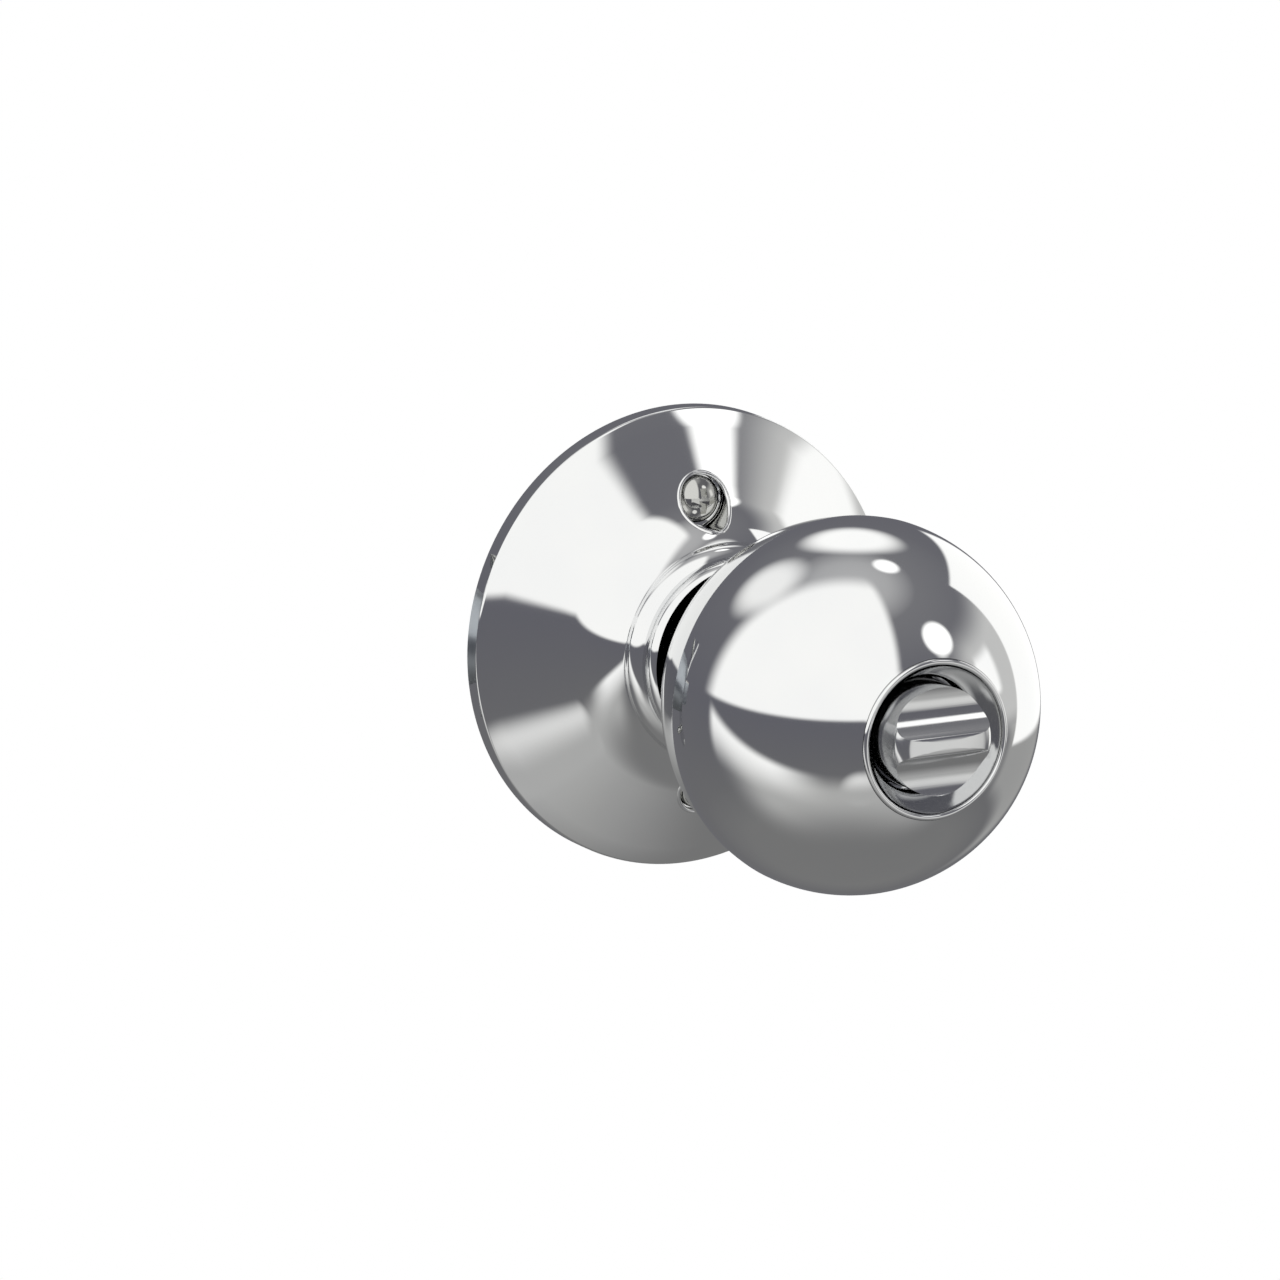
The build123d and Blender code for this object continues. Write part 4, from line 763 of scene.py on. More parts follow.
    def hole_lip(self, word: str, sign: float) -> bpy.types.Object:
        """Build the rounded lip that follows the edge of a screw hole.

        Args:
            word: "upper" or "lower".
            sign: 1 for the upper hole and -1 for the lower one.

        Returns:
            The lip, as a closed bead that is half sunk in the cover.
        """
        ring = self.hole + self.bead_offset
        places = []
        for step in range(self.bead_steps):
            angle = math.tau * step / self.bead_steps
            x = ring * math.cos(angle)
            z = sign * SCREW_Z + ring * math.sin(angle)
            height = self.surface_height(math.hypot(x, z)) - self.bead_sink
            places.append(Vector((x, self.side.y(height), z)) * MM)
        lip = draw_line(f"{word}_screw_hole_lip", places)
        bpy.ops.mesh.select_all(action="SELECT")
        bpy.ops.mesh.edge_face_add()
        bpy.ops.mesh.delete(type="ONLY_FACE")
        bpy.ops.object.mode_set(mode="OBJECT")
        bpy.ops.object.convert(target="CURVE")
        lip.data.bevel_depth = self.lip_bead * MM
        lip.data.bevel_resolution = 4
        bpy.ops.object.convert(target="MESH")
        bpy.ops.object.mode_set(mode="EDIT")
        finish_edit(angle=80.0)
        return lip

    def dress(self, piece: bpy.types.Object, finishes: Finishes, stands_for_node: bool) -> bpy.types.Object:
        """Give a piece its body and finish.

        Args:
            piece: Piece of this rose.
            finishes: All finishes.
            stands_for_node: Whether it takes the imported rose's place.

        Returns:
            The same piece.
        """
        rose = f"{self.side.word}_rose"
        if stands_for_node:
            return stand_in(piece, "lock_body", rose, finishes, self.finish)
        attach(piece, "lock_body")
        finishes.put_on(piece, self.finish)
        return piece


# Ball knobs


@dataclass
class BallKnob:
    """Hollow ball with a rolled-in back, standing on its shank."""

    side: Side
    finish: MetalFinish = POLISHED_CHROME
    radius: float = 25.8
    centre: float = 49.957
    back: Point = (17.4, 29.157)
    heel: Point = (18.1, 31.257)
    crease: float = 0.45
    back_bulge: float = 1.5
    mouth: float = 11.05
    wall: float = 1.2
    shank: float = 12.05
    roll: float = 0.35

    def outline(self) -> list[Point]:
        """Draw the closed outline of the shell's wall.

        Returns:
            Points as (radius, height) in mm.
        """
        crease_point = (math.sqrt(self.radius**2 - self.crease**2), self.centre - self.crease)
        first = math.degrees(math.atan2(-self.crease, crease_point[0]))
        last = math.degrees(math.acos(self.mouth / self.radius))
        inner = self.radius - self.wall
        inner_last = math.degrees(math.acos(self.mouth / inner))
        inner_heel = (self.heel[0] - self.wall, self.heel[1] + self.wall / 2)
        inner_back = (self.back[0] - self.wall, self.back[1] + self.wall)
        inner_crease = (crease_point[0] - self.wall, crease_point[1])
        inner_first = math.degrees(math.atan2(-self.crease, inner_crease[0]))
        roll_centre = (self.back[0] - self.roll, self.back[1] + self.roll)
        return (
            [(self.shank, self.back[1])]
            + arc(roll_centre, self.roll, -90.0, -15.0, 4)
            + bulged(self.heel, crease_point, self.back_bulge, 26)
            + arc((0.0, self.centre), self.radius, first, last, 64)[1:]
            + list(reversed(arc((0.0, self.centre), inner, inner_first, inner_last, 20)))
            + list(reversed(bulged(inner_heel, inner_crease, self.back_bulge, 8)))[1:]
            + [inner_back, (self.shank, inner_back[1])]
        )

    def build(self, finishes: Finishes) -> bpy.types.Object:
        """Build the shell.

        Args:
            finishes: All finishes.

        Returns:
            The shell.
        """
        word = self.side.word
        shell = turned(self.side, f"{word}_ball_knob", self.outline(), steps=200)
        return stand_in(shell, f"{word}_knob", f"{word}_knob_shell", finishes, self.finish)


@dataclass
class RecessCup:
    """Cup let into the inside knob: rolled lip, coned wall and a bush for the button's stem."""

    finish: MetalFinish = POLISHED_CHROME
    lip_radius: float = 11.0
    bead: float = 0.42
    mouth_radius: float = 10.05
    mouth_drop: float = 0.62
    cone_bulge: float = -0.12
    well_radius: float = 7.9
    well_edge: Point = (0.25, 0.15)
    well_start: float = 0.35
    corner: float = 0.5
    cone_depth: float = 3.2
    well_depth: float = 9.0
    floor: float = 1.6
    wall: float = 0.8
    bush: float = 3.06
    bush_edge: float = 0.3

    def outline(self) -> list[Point]:
        """Draw the closed outline of the cup's wall.

        Returns:
            Points as (radius, height) in mm.
        """
        cone = RECESS_LIP_HEIGHT - self.cone_depth
        well = cone - self.well_depth
        bead_centre = (self.lip_radius - self.bead, RECESS_LIP_HEIGHT)
        mouth = (self.mouth_radius, RECESS_LIP_HEIGHT - self.mouth_drop)
        cone_foot = (self.well_radius + self.well_edge[0], cone + self.well_edge[1])
        return (
            arc(bead_centre, self.bead, -60.0, 205.0, 16)
            + bulged(mouth, cone_foot, self.cone_bulge, 6)
            + [(self.well_radius, cone - self.well_start), (self.well_radius, well + self.corner)]
            + [(self.well_radius - self.corner, well)]
            + [(self.bush + self.bush_edge, well), (self.bush, well - self.bush_edge)]
            + [(self.bush, well - self.floor), (self.well_radius + self.wall, well - self.floor)]
            + [(self.well_radius + self.wall, cone - self.wall)]
            + [(bead_centre[0], RECESS_LIP_HEIGHT - 2 * self.wall)]
        )

    def build(self, finishes: Finishes) -> bpy.types.Object:
        """Build the cup.

        Args:
            finishes: All finishes.

        Returns:
            The cup.
        """
        cup = turned(Side.INSIDE, "recess_cup_with_rolled_lip", self.outline(), steps=160)
        return stand_in(cup, "inside_knob", "inside_recess_cup", finishes, self.finish)


@dataclass
class TurnButton:
    """Round turn button, scooped on both sides so that a rounded crossbar stands between."""

    finish: MetalFinish = CAST_CHROME
    radius: float = 7.4
    top: float = 76.995
    low: float = 66.595
    crown: float = 60.0
    scoop: float = 4.4
    drop: float = 2.8
    bar: float = 2.4
    nose: float = 1.4
    end: float = 1.9
    foot_edge: float = 0.4
    edge: float = 0.15
    clearance: float = 2.0

    def disc(self) -> bpy.types.Object:
        """Turn the button's round body with its crowned top and rounded shoulder.

        Returns:
            The body, before it is scooped.
        """
        shoulder = self.radius - self.end
        rise = math.sqrt((self.crown - self.end) ** 2 - shoulder**2)
        meeting = math.degrees(math.atan2(rise, shoulder))
        centre = self.top - self.crown
        pole = math.degrees(math.acos(POLE / self.crown))
        outline = [(POLE, self.low), (self.radius - self.foot_edge, self.low)]
        outline += [(self.radius, self.low + self.foot_edge)]
        outline += arc((shoulder, centre + rise), self.end, 0.0, meeting, 8)
        outline += arc((0.0, centre), self.crown, meeting, pole, 14)[1:]
        return turned(Side.INSIDE, "turn_button_with_crossbar", outline, steps=128)

    def section(self) -> list[Point]:
        """Draw the top of the section that the scoops leave.

        Returns:
            Points as (Z, height) in mm, from right to left.
        """
        lift = self.scoop - self.drop
        middle = self.bar / 2 + math.sqrt(self.scoop**2 - lift**2)
        fall = lift + self.nose
        reach = math.sqrt((self.scoop + self.nose) ** 2 - fall**2)
        lean = math.degrees(math.atan2(fall, reach))
        rim = self.radius + self.foot_edge
        side = math.degrees(math.acos((rim - middle) / self.scoop))
        scoop_line = arc((middle, self.top + lift), self.scoop, -side, -180.0 + lean, 28)
        nose_line = arc((middle - reach, self.top - self.nose), self.nose, lean, 90.0, 10)
        right = scoop_line + nose_line[1:]
        left = [(-z, height) for z, height in reversed(right)]
        return right + left

    def build(self, finishes: Finishes) -> bpy.types.Object:
        """Build the button.

        Args:
            finishes: All finishes.

        Returns:
            The button.
        """
        button = self.disc()
        side = self.radius + self.clearance
        base = self.low - self.clearance
        section = [(side, base), (side, self.section()[0][1])] + self.section()
        section += [(-side, section[1][1]), (-side, base)]
        places = [Vector((-side, Side.INSIDE.y(height), z)) * MM for z, height in section]
        bar = extruded("button_section", places, Vector((2 * side * MM, 0, 0)))
        combine(button, bar, "INTERSECT")
        round_edges(button, self.edge, segments=3, angle=35.0)
        return stand_in(button, "turn_button", "turn_button", finishes, self.finish)


# Screws


@dataclass
class CrossScrew:
    """Screw with a domed, cross-slotted head."""

    name: str
    node: str
    places: list[Vector]
    head: float = 3.3
    head_height: float = 2.5
    head_edge: float = 0.5
    head_foot: float = 0.2
    shaft: float = 2.05
    length: float = 39.6
    point: float = 0.6
    plain_shaft: float = 6.0
    thread_end: float = 8.0
    thread_pitch: float = 1.1
    thread_depth: float = 0.3
    slot_length: float = 3.6
    slot_width: float = 0.9
    slot_depth: float = 1.2
    edge: float = 0.1
    finish: MetalFinish = NICKEL_SCREW

    def build(self, finishes: Finishes) -> bpy.types.Object:
        """Build one screw, copy it to every place and join the copies.

        Args:
            finishes: All finishes.

        Returns:
            The joined screws.
        """
        tip = SCREW_SEAT - self.length
        rise = self.head_height - self.head_edge
        dome = (self.head**2 + rise**2) / (2 * rise)
        edge_angle = math.degrees(math.asin((dome - rise) / dome))
        top = SCREW_SEAT + self.head_height
        outline = [(POLE, tip), (self.shaft - self.point, tip)]
        for turn in range(int((self.length - self.thread_end) / self.thread_pitch)):
            base = tip + self.point + turn * self.thread_pitch
            outline.append((self.shaft - self.thread_depth, base))
            outline.append((self.shaft, base + self.thread_pitch / 2))
        outline += [(self.shaft, SCREW_SEAT - self.plain_shaft), (self.shaft, SCREW_SEAT)]
        outline += [(self.head - self.head_foot, SCREW_SEAT), (self.head, SCREW_SEAT + self.head_foot)]
        outline += arc((0.0, top - dome), dome, edge_angle, 89.4, 12) + [(POLE, top)]
        screw = turned(Side.INSIDE, self.name, outline, steps=72)
        sides = (self.slot_length, self.slot_width)
        for long_x, long_z in (sides, sides[::-1]):
            slot = block(
                "driver_slot",
                (-long_x / 2, -top - 1.0, -long_z / 2),
                (long_x / 2, -(top - self.slot_depth), long_z / 2),
            )
            cut_away(screw, slot)
        round_edges(screw, self.edge, segments=2, angle=40.0)
        screws = []
        for place in self.places:
            deselect()
            screw.select_set(True)
            bpy.context.view_layer.objects.active = screw
            bpy.ops.object.duplicate()
            copy = bpy.context.object
            moved(copy, place)
            screws.append(copy)
        bpy.data.objects.remove(screw)
        piece = joined(self.name, screws)
        return stand_in(piece, "lock_body", self.node, finishes, self.finish)


# Latch


@dataclass
class LatchFace:
    """Faceplate in the door's edge, with rounded edges and countersunk holes."""

    finish: MetalFinish = POLISHED_CHROME
    width: float = 25.4
    height: float = 57.15
    thickness: float = 1.6
    corner: float = 6.35
    hole: float = 2.3
    sink: float = 4.0
    screw_z: float = 20.65
    opening_low: Point = (-6.9, -7.3)
    opening_high: Point = (6.9, 7.3)
    edge: float = 0.35
    clearance: float = 1.0

    def build(self, finishes: Finishes) -> bpy.types.Object:
        """Build the plate.

        Args:
            finishes: All finishes.

        Returns:
            The plate.
        """
        half_y = self.width / 2 - self.corner
        half_z = self.height / 2 - self.corner
        corners = []
        signs = ((1, 1), (-1, 1), (-1, -1), (1, -1))
        for quarter, (sign_y, sign_z) in enumerate(signs):
            start = 90 * quarter
            corners += arc((sign_y * half_y, sign_z * half_z), self.corner, start, start + 90.0, 12)
        places = [Vector((DOOR_EDGE_X, LATCH_Y + y, z)) * MM for y, z in corners]
        plate = extruded("latch_face", places, Vector((self.thickness * MM, 0, 0)))
        opening = block(
            "bolt_opening",
            (DOOR_EDGE_X - 1.0, LATCH_Y + self.opening_low[0], self.opening_low[1]),
            (DOOR_EDGE_X + 3.0, LATCH_Y + self.opening_high[0], self.opening_high[1]),
        )
        cut_away(plate, opening)
        for sign in (1.0, -1.0):
            place = Vector((DOOR_EDGE_X, LATCH_Y, sign * self.screw_z)) * MM
            cut_away(plate, rod("screw_hole", place, "X", self.hole, 8.0, 64))
            depth = self.sink - self.hole
            deselect()
            bpy.ops.mesh.primitive_cone_add(
                vertices=64,
                radius1=(self.sink + self.clearance) * MM,
                radius2=self.hole * MM,
                depth=(depth + self.clearance) * MM,
                location=place + Vector(((depth - self.clearance) / 2 * MM, 0, 0)),
                rotation=(0, math.pi / 2, 0),
            )
            sink = bpy.context.object
            bpy.ops.object.transform_apply(location=True, rotation=True, scale=True)
            cut_away(plate, sink)
        round_edges(plate, self.edge, segments=3, angle=40.0)
        return stand_in(plate, "lock_body", "latch_faceplate", finishes, self.finish)


@dataclass
class LatchBolt:
    """Spring bolt, bevelled towards the outside, and the dead-latch plunger beside it."""

    finish: MetalFinish = PLATED_BOLT
    tip_x: float = -73.025
    rear_x: float = -48.725
    high: float = 6.6
    low: float = -3.4
    half_height: float = 7.0
    tip: float = 2.5
    bulge: float = 0.9
    edge: float = 0.55
    plunger_low: float = -6.6
    plunger_high: float = -3.6
    plunger_half: float = 6.4
    plunger_tip_x: float = -71.525
    plunger_rear_x: float = -52.025

    def build(self, finishes: Finishes) -> list[bpy.types.Object]:
        """Build the bolt and the plunger.

        Args:
            finishes: All finishes.

        Returns:
            Both pieces.
        """
        bevel = bulged((DOOR_EDGE_X, self.high), (self.tip_x, self.low + self.tip), self.bulge, 16)
        line = [(self.tip_x, self.low), (self.rear_x, self.low), (self.rear_x, self.high)] + bevel
        places = [Vector((x, LATCH_Y + y, -self.half_height)) * MM for x, y in line]
        bolt = extruded("bevelled_latch_bolt", places, Vector((0, 0, 2 * self.half_height * MM)))
        round_edges(bolt, self.edge, segments=4, angle=30.0)
        stand_in(bolt, "latch_bolt", "latch_bolt", finishes, self.finish)
        plunger = block(
            "guard_plunger",
            (self.plunger_tip_x, LATCH_Y + self.plunger_low, -self.plunger_half),
            (self.plunger_rear_x, LATCH_Y + self.plunger_high, self.plunger_half),
        )
        round_edges(plunger, self.edge, segments=4, angle=30.0)
        stand_in(plunger, "deadlatch_plunger", "deadlatch_plunger", finishes, ZINC_STAMPING)
        return [bolt, plunger]


# Key


@dataclass
class KeyInPlug:
    """Key in the plug: cut blade, neck and an oval bow with a raised rim and a ring hole."""

    finish: MetalFinish = KEY_STOCK
    start: float = DOOR + RECESS_LIP_HEIGHT + 0.05
    blade: float = 25.05
    bottom: float = -4.2
    top: float = 3.8
    thickness: float = 2.0
    bow_thickness: float = 2.4
    neck_length: float = 5.0
    neck_height: float = 10.0
    bow_length: float = 25.0
    bow_width: float = 22.0
    ring_hole: float = 3.2
    ring_inset: float = 6.0
    cut_flat: float = 1.2
    cuts: tuple[float, ...] = (1.2, 2.4, 0.7, 1.9, 1.0)
    first_cut: float = 7.05
    cut_pitch: float = 3.96
    groove_height: float = 1.6
    groove_depth: float = 0.5
    groove_shift: float = 0.6
    groove_drop: float = 0.8
    panel_depth: float = 0.35
    panel_margin: float = 2.2
    edge: float = 0.18

    def build(self, finishes: Finishes) -> bpy.types.Object:
        """Build the key.

        Args:
            finishes: All finishes.

        Returns:
            The key.
        """
        tip = self.start - self.blade
        quarter = (self.top - self.bottom) / 4
        line: list[Point] = [(tip, self.bottom + quarter), (tip + quarter, self.bottom)]
        line += [(self.start, self.bottom), (self.start, self.top)]
        for index, cut in enumerate(self.cuts):
            middle = self.start - self.first_cut - self.cut_pitch * index
            run = self.cut_flat / 2 + cut
            line += [(middle + run, self.top), (middle + self.cut_flat / 2, self.top - cut)]
            line += [(middle - self.cut_flat / 2, self.top - cut), (middle - run, self.top)]
        line += [(tip + quarter, self.top), (tip, self.top - quarter)]
        line = self.without_folds(line)
        blade = self.solid("key_blade", line, self.thickness)
        for sign in (1.0, -1.0):
            side_x = sign * self.thickness / 2
            low_x, high_x = sorted((side_x - sign * self.groove_depth, side_x + sign * 1.0))
            middle = sign * self.groove_shift - self.groove_drop
            groove = block(
                "warding_groove",
                (low_x, tip - 1.0, middle - self.groove_height / 2),
                (high_x, self.start + 1.5, middle + self.groove_height / 2),
            )
            cut_away(blade, groove)
        bow_middle = self.start + self.neck_length + self.bow_length / 2
        half_length = self.bow_length / 2
        half_width = self.bow_width / 2
        oval = self.oval(bow_middle, half_length, half_width, 96)
        bow = self.solid("key_bow", oval, self.bow_thickness)
        neck_end = self.start + 2 * self.neck_length
        half_neck = self.neck_height / 2
        neck_line = [(self.start, -half_neck), (neck_end, -half_neck)]
        neck_line += [(neck_end, half_neck), (self.start, half_neck)]
        neck = self.solid("key_neck", neck_line, self.bow_thickness)
        combine(bow, neck, "UNION")
        inset = self.panel_margin
        panel_line = self.oval(bow_middle, half_length - inset, half_width - inset, 72)
        for sign in (1.0, -1.0):
            panel = self.solid("bow_panel", panel_line, 2 * self.panel_depth)
            moved(panel, Vector((sign * self.bow_thickness / 2 * MM, 0, 0)))
            cut_away(bow, panel)
        ring_y = bow_middle + half_length - self.ring_inset
        cut_away(bow, rod("ring_hole", Vector((0, ring_y * MM, 0)), "X", self.ring_hole, 8.0, 64))
        combine(blade, bow, "UNION")
        round_edges(blade, self.edge, segments=2, angle=28.0)
        blade.name = "cut_key"
        blade.data.name = "cut_key"
        return stand_in(blade, "key_plug", "key", finishes, self.finish)

    def without_folds(self, line: list[Point]) -> list[Point]:
        """Join neighbouring cuts whose slopes cross above the blade.

        Args:
            line: Outline of the blade.

        Returns:
            The outline, with each crossing made one peak.
        """
        first_cut = 4
        clean = line[:first_cut]
        for point in line[first_cut:]:
            last = clean[-1]
            overlap = point[0] - last[0]
            if len(clean) > first_cut and last[1] == point[1] == self.top and overlap > 0:
                clean[-1] = (last[0] + overlap / 2, self.top - overlap / 2)
            else:
                clean.append(point)
        return clean

    def oval(self, middle: float, half_length: float, half_width: float, count: int) -> list[Point]:
        """Return the points of an oval in the plane of the key."""
        angles = [math.tau * i / count for i in range(count)]
        return [(middle + half_length * math.cos(a), half_width * math.sin(a)) for a in angles]

    def solid(self, name: str, line: list[Point], thickness: float) -> bpy.types.Object:
        """Extrude an outline of the key through its thickness.

        Args:
            name: Name of the solid.
            line: Outline as (Y, Z) in mm.
            thickness: Thickness along X, in mm.

        Returns:
            The solid.
        """
        places = [Vector((-thickness / 2, y, z)) * MM for y, z in line]
        return extruded(name, places, Vector((thickness * MM, 0, 0)))


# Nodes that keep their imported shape


NODE_FINISHES: dict[MetalFinish, tuple[str, ...]] = {
    TURNED_CHROME: ("inside_shank", "outside_shank"),
    POLISHED_CHROME: ("face_ring",),
    ZINC_STAMPING: (
        "inside_mounting_plate",
        "outside_mounting_plate",
        "inside_spring_cage",
        "outside_spring_cage",
        "inside_snap_ring",
        "outside_snap_ring",
        "latch_frame",
        "latch_tail",
        "latch_tube",
        "spring_stop",
        "lock_ring",
        "plug_clip",
        "button_clip",
        "driver_bar",
        "tower_cap",
        "tailpiece",
    ),
    DIE_CAST: (
        "inside_bearing",
        "outside_bearing",
        "spindle_socket",
        "dog_carrier",
        "lock_dog",
        "latch_hub",
        "spindle",
        "screw_posts",
        "button_stem",
    ),
    SPRING_WIRE: (
        "inside_return_spring",
        "outside_return_spring",
        "bolt_spring",
        "plunger_spring",
        "pin_springs",
    ),
    TURNED_BRASS: ("cylinder_body", "key_plug", "key_pins", "driver_pins"),
    NICKEL_SCREW: ("faceplate_screws",),
}


def dress_nodes(finishes: Finishes) -> None:
    """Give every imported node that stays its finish.

    Args:
        finishes: All finishes.
    """
    for finish, names in NODE_FINISHES.items():
        for name in names:
            finishes.put_on(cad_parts[name], finish)


# Studio


@dataclass(frozen=True)
class LightCard:
    """Soft-edged card of light on the studio's dome, cut out by planes.

    Attributes:
        name: What the card is.
        level: Its brightness.
        edges: Planes that bound it: a normal, how far along it the edge lies, and its softness.
    """

    name: str
    level: float
    edges: tuple[tuple[Place, float, float], ...]


@dataclass(frozen=True)
class RoundLamp:
    """Round soft lamp on the studio's dome.

    Attributes:
        name: What the lamp is.
        level: Its brightness.
        towards: Direction of its middle.
        core_degrees: Radius of its bright middle.
        fade_degrees: Radius at which it has faded out.
    """

    name: str
    level: float
    towards: Place
    core_degrees: float
    fade_degrees: float


@dataclass
class Studio:
    """Pale studio: a dome with soft cards and lamps, a plain door face, a floor and the camera."""

    dome_greys: tuple[tuple[float, str], ...] = (
        (-1.0, "7C7C7C"),
        (-0.8, "7C7C7C"),
        (-0.58, "707072"),
        (-0.34, "6C6C70"),
        (0.0, "68686F"),
        (0.5, "6E6E74"),
        (0.86, "7C7C80"),
        (0.95, "B2B2B3"),
        (1.0, "BBBBBC"),
    )
    cards: tuple[LightCard, ...] = (
        LightCard(
            "grey screen low at the right",
            0.36,
            (
                ((0.0, 0.0, 1.0), -0.55, 0.06),
                ((0.0, 0.0, -1.0), 0.2, 0.02),
                ((0.087, 0.996, 0.0), 0.0, 0.08),
                ((0.707, -0.707, 0.0), 0.0, 0.1),
            ),
        ),
        LightCard(
            "pale floor at the left",
            0.47,
            (
                ((0.254, 0.439, -0.862), 0.1, 0.12),
                ((-0.53, -0.848, 0.0), 0.17, 0.22),
                ((-0.35, -0.937, 0.0), 0.0, 0.3),
                ((0.0, 0.0, 1.0), -0.86, 0.16),
            ),
        ),
        LightCard(
            "streak of light on the floor at the left",
            1.1,
            (
                ((0.254, 0.439, -0.862), 0.03, 0.05),
                ((-0.254, -0.439, 0.862), -0.22, 0.18),
                ((-0.53, -0.848, 0.0), 0.02, 0.05),
                ((-0.469, 0.883, 0.0), 0.02, 0.3),
            ),
        ),
        LightCard(
            "pale screen at the right",
            0.62,
            (
                ((0.53, 0.848, 0.0), -0.12, 0.2),
                ((0.122, -0.9925, 0.0), 0.0, 0.03),
                ((0.0, 0.0, 1.0), -0.2, 0.1),
                ((0.0, 0.0, -1.0), -0.5, 0.14),
            ),
        ),
        LightCard(
            "large window at the left",
            1.1,
            (
                ((0.0, 0.0, 1.0), 0.055, 0.025),
                ((-0.53, -0.848, 0.0), -0.04, 0.11),
                ((-0.986, 0.009, 0.165), 0.0, 0.05),
            ),
        ),
        LightCard(
            "narrow window at the right",
            1.15,
            (
                ((0.485, 0.875, 0.0), 0.0, 0.03),
                ((-0.225, -0.974, 0.0), 0.0, 0.05),
                ((0.0, 0.0, 1.0), 0.03, 0.03),
                ((0.0, 0.0, -1.0), -0.34, 0.05),
            ),
        ),
        LightCard(
            "white screen behind, at the right",
            1.15,
            (
                ((-0.039, 0.992, -0.119), 0.0, 0.015),
                ((0.786, -0.238, -0.571), 0.204, 0.015),
                ((0.788, -0.616, 0.0), 0.0, 0.02),
                ((0.06, -0.093, 0.994), -0.257, 0.015),
            ),
        ),
    )
    glows: tuple[RoundLamp, ...] = (
        RoundLamp("pale floor in front", 0.78, (0.42, -0.86, -0.26), 6.0, 26.0),
        RoundLamp("bright floor in front", 0.95, (-0.28, -0.72, -0.63), 3.0, 13.0),
        RoundLamp("glow behind, at the left", 1.0, (-0.341, 0.545, 0.766), 6.0, 20.0),
    )
    lamps: tuple[RoundLamp, ...] = (
        RoundLamp("soft lamp above the door", 1.15, (0.335, 0.58, 0.743), 8.0, 18.0),
        RoundLamp("small lamp overhead", 1.4, (0.374, 0.159, 0.914), 3.5, 6.5),
        RoundLamp("lamp beside the camera", 1.4, (0.55, -0.55, 0.629), 7.5, 10.5),
    )
    camera_place: Place = (-0.6128, -1.1427, 0.2914)
    camera_back: Place = (-0.4578, -0.8614, 0.2200)
    warmth: float = 0.985
    camera_lens: float = 267.8
    sensor: float = 36.0
    wall_gap: float = 0.0002
    wall_size: float = 6.0
    floor_height: float = -0.95
    floor_size: float = 30.0
    floor_grey: float = 0.85

    def build(self) -> None:
        """Build the dome, the door face, the floor and the camera."""
        self.dome()
        self.door_face()
        self.floor()
        self.camera()

    def dome(self) -> None:
        """Build the world: white to the camera, and the cards and lamps to everything else."""
        world = bpy.data.worlds.new("studio_dome")
        bpy.context.scene.world = world
        world.use_nodes = True
        tree = world.node_tree
        tree.nodes.clear()
        place = add_node(tree, "ShaderNodeTexCoord")
        direction = place.outputs["Generated"]
        height = self.rescale(tree, self.along(tree, direction, (0.0, 0.0, 1.0)), -1.0, 1.0, "LINEAR")
        ramp = add_node(tree, "ShaderNodeValToRGB", inputs={"Fac": height})
        while len(ramp.color_ramp.elements) < len(self.dome_greys):
            ramp.color_ramp.elements.new(0.5)
        for element, (level, colour) in zip(ramp.color_ramp.elements, self.dome_greys):
            element.position = (level + 1) / 2
            element.color = linear(colour)
        total = ramp.outputs["Color"]
        for glow in self.glows:
            total = self.lit(tree, total, self.disc_mask(tree, direction, glow), glow.level)
        for card in self.cards:
            mask = None
            for normal, offset, softness in card.edges:
                reach = self.along(tree, direction, normal)
                inside = self.rescale(tree, reach, offset - softness, offset + softness)
                mask = inside if mask is None else self.combine(tree, "MULTIPLY", mask, inside)
            total = self.lit(tree, total, mask, card.level)
        for lamp in self.lamps:
            total = self.lit(tree, total, self.disc_mask(tree, direction, lamp), lamp.level)
        surroundings = add_node(tree, "ShaderNodeBackground", inputs={"Color": total, "Strength": 1.0})
        white = add_node(tree, "ShaderNodeBackground", inputs={"Color": WHITE, "Strength": 1.0})
        mix = self.mixed(tree, self.seen(tree), surroundings.outputs[0], white.outputs[0])
        add_node(tree, "ShaderNodeOutputWorld", inputs={"Surface": mix})

    def seen(self, tree: bpy.types.NodeTree) -> bpy.types.NodeSocket:
        """Return the output that is 1 for what the camera sees, through glass too."""
        rays = add_node(tree, "ShaderNodeLightPath").outputs
        return self.combine(tree, "MAXIMUM", rays["Is Camera Ray"], rays["Is Transmission Ray"])

    def mixed(
        self,
        tree: bpy.types.NodeTree,
        share: bpy.types.NodeSocket,
        first: bpy.types.NodeSocket,
        second: bpy.types.NodeSocket,
    ) -> bpy.types.NodeSocket:
        """Return the output of two shaders mixed, all of the second where the share is 1."""
        return add_node(tree, "ShaderNodeMixShader", inputs={0: share, 1: first, 2: second}).outputs[0]

    def along(
        self, tree: bpy.types.NodeTree, direction: bpy.types.NodeSocket, normal: Place
    ) -> bpy.types.NodeSocket:
        """Return the output that says how far a direction goes along a normal."""
        inputs = {0: direction, 1: normal}
        return add_node(tree, "ShaderNodeVectorMath", {"operation": "DOT_PRODUCT"}, inputs).outputs["Value"]

    def disc_mask(
        self, tree: bpy.types.NodeTree, direction: bpy.types.NodeSocket, lamp: RoundLamp
    ) -> bpy.types.NodeSocket:
        """Mark where a round lamp is.

        Args:
            tree: Node tree of the dome.
            direction: Output that holds the direction looked in.
            lamp: The lamp.

        Returns:
            The output that is 1 in the middle of the lamp and 0 outside it.
        """
        middle = Vector(lamp.towards).normalized()
        reach = self.along(tree, direction, tuple(middle))
        fade = math.cos(math.radians(lamp.fade_degrees))
        core = math.cos(math.radians(lamp.core_degrees))
        return self.rescale(tree, reach, fade, core)

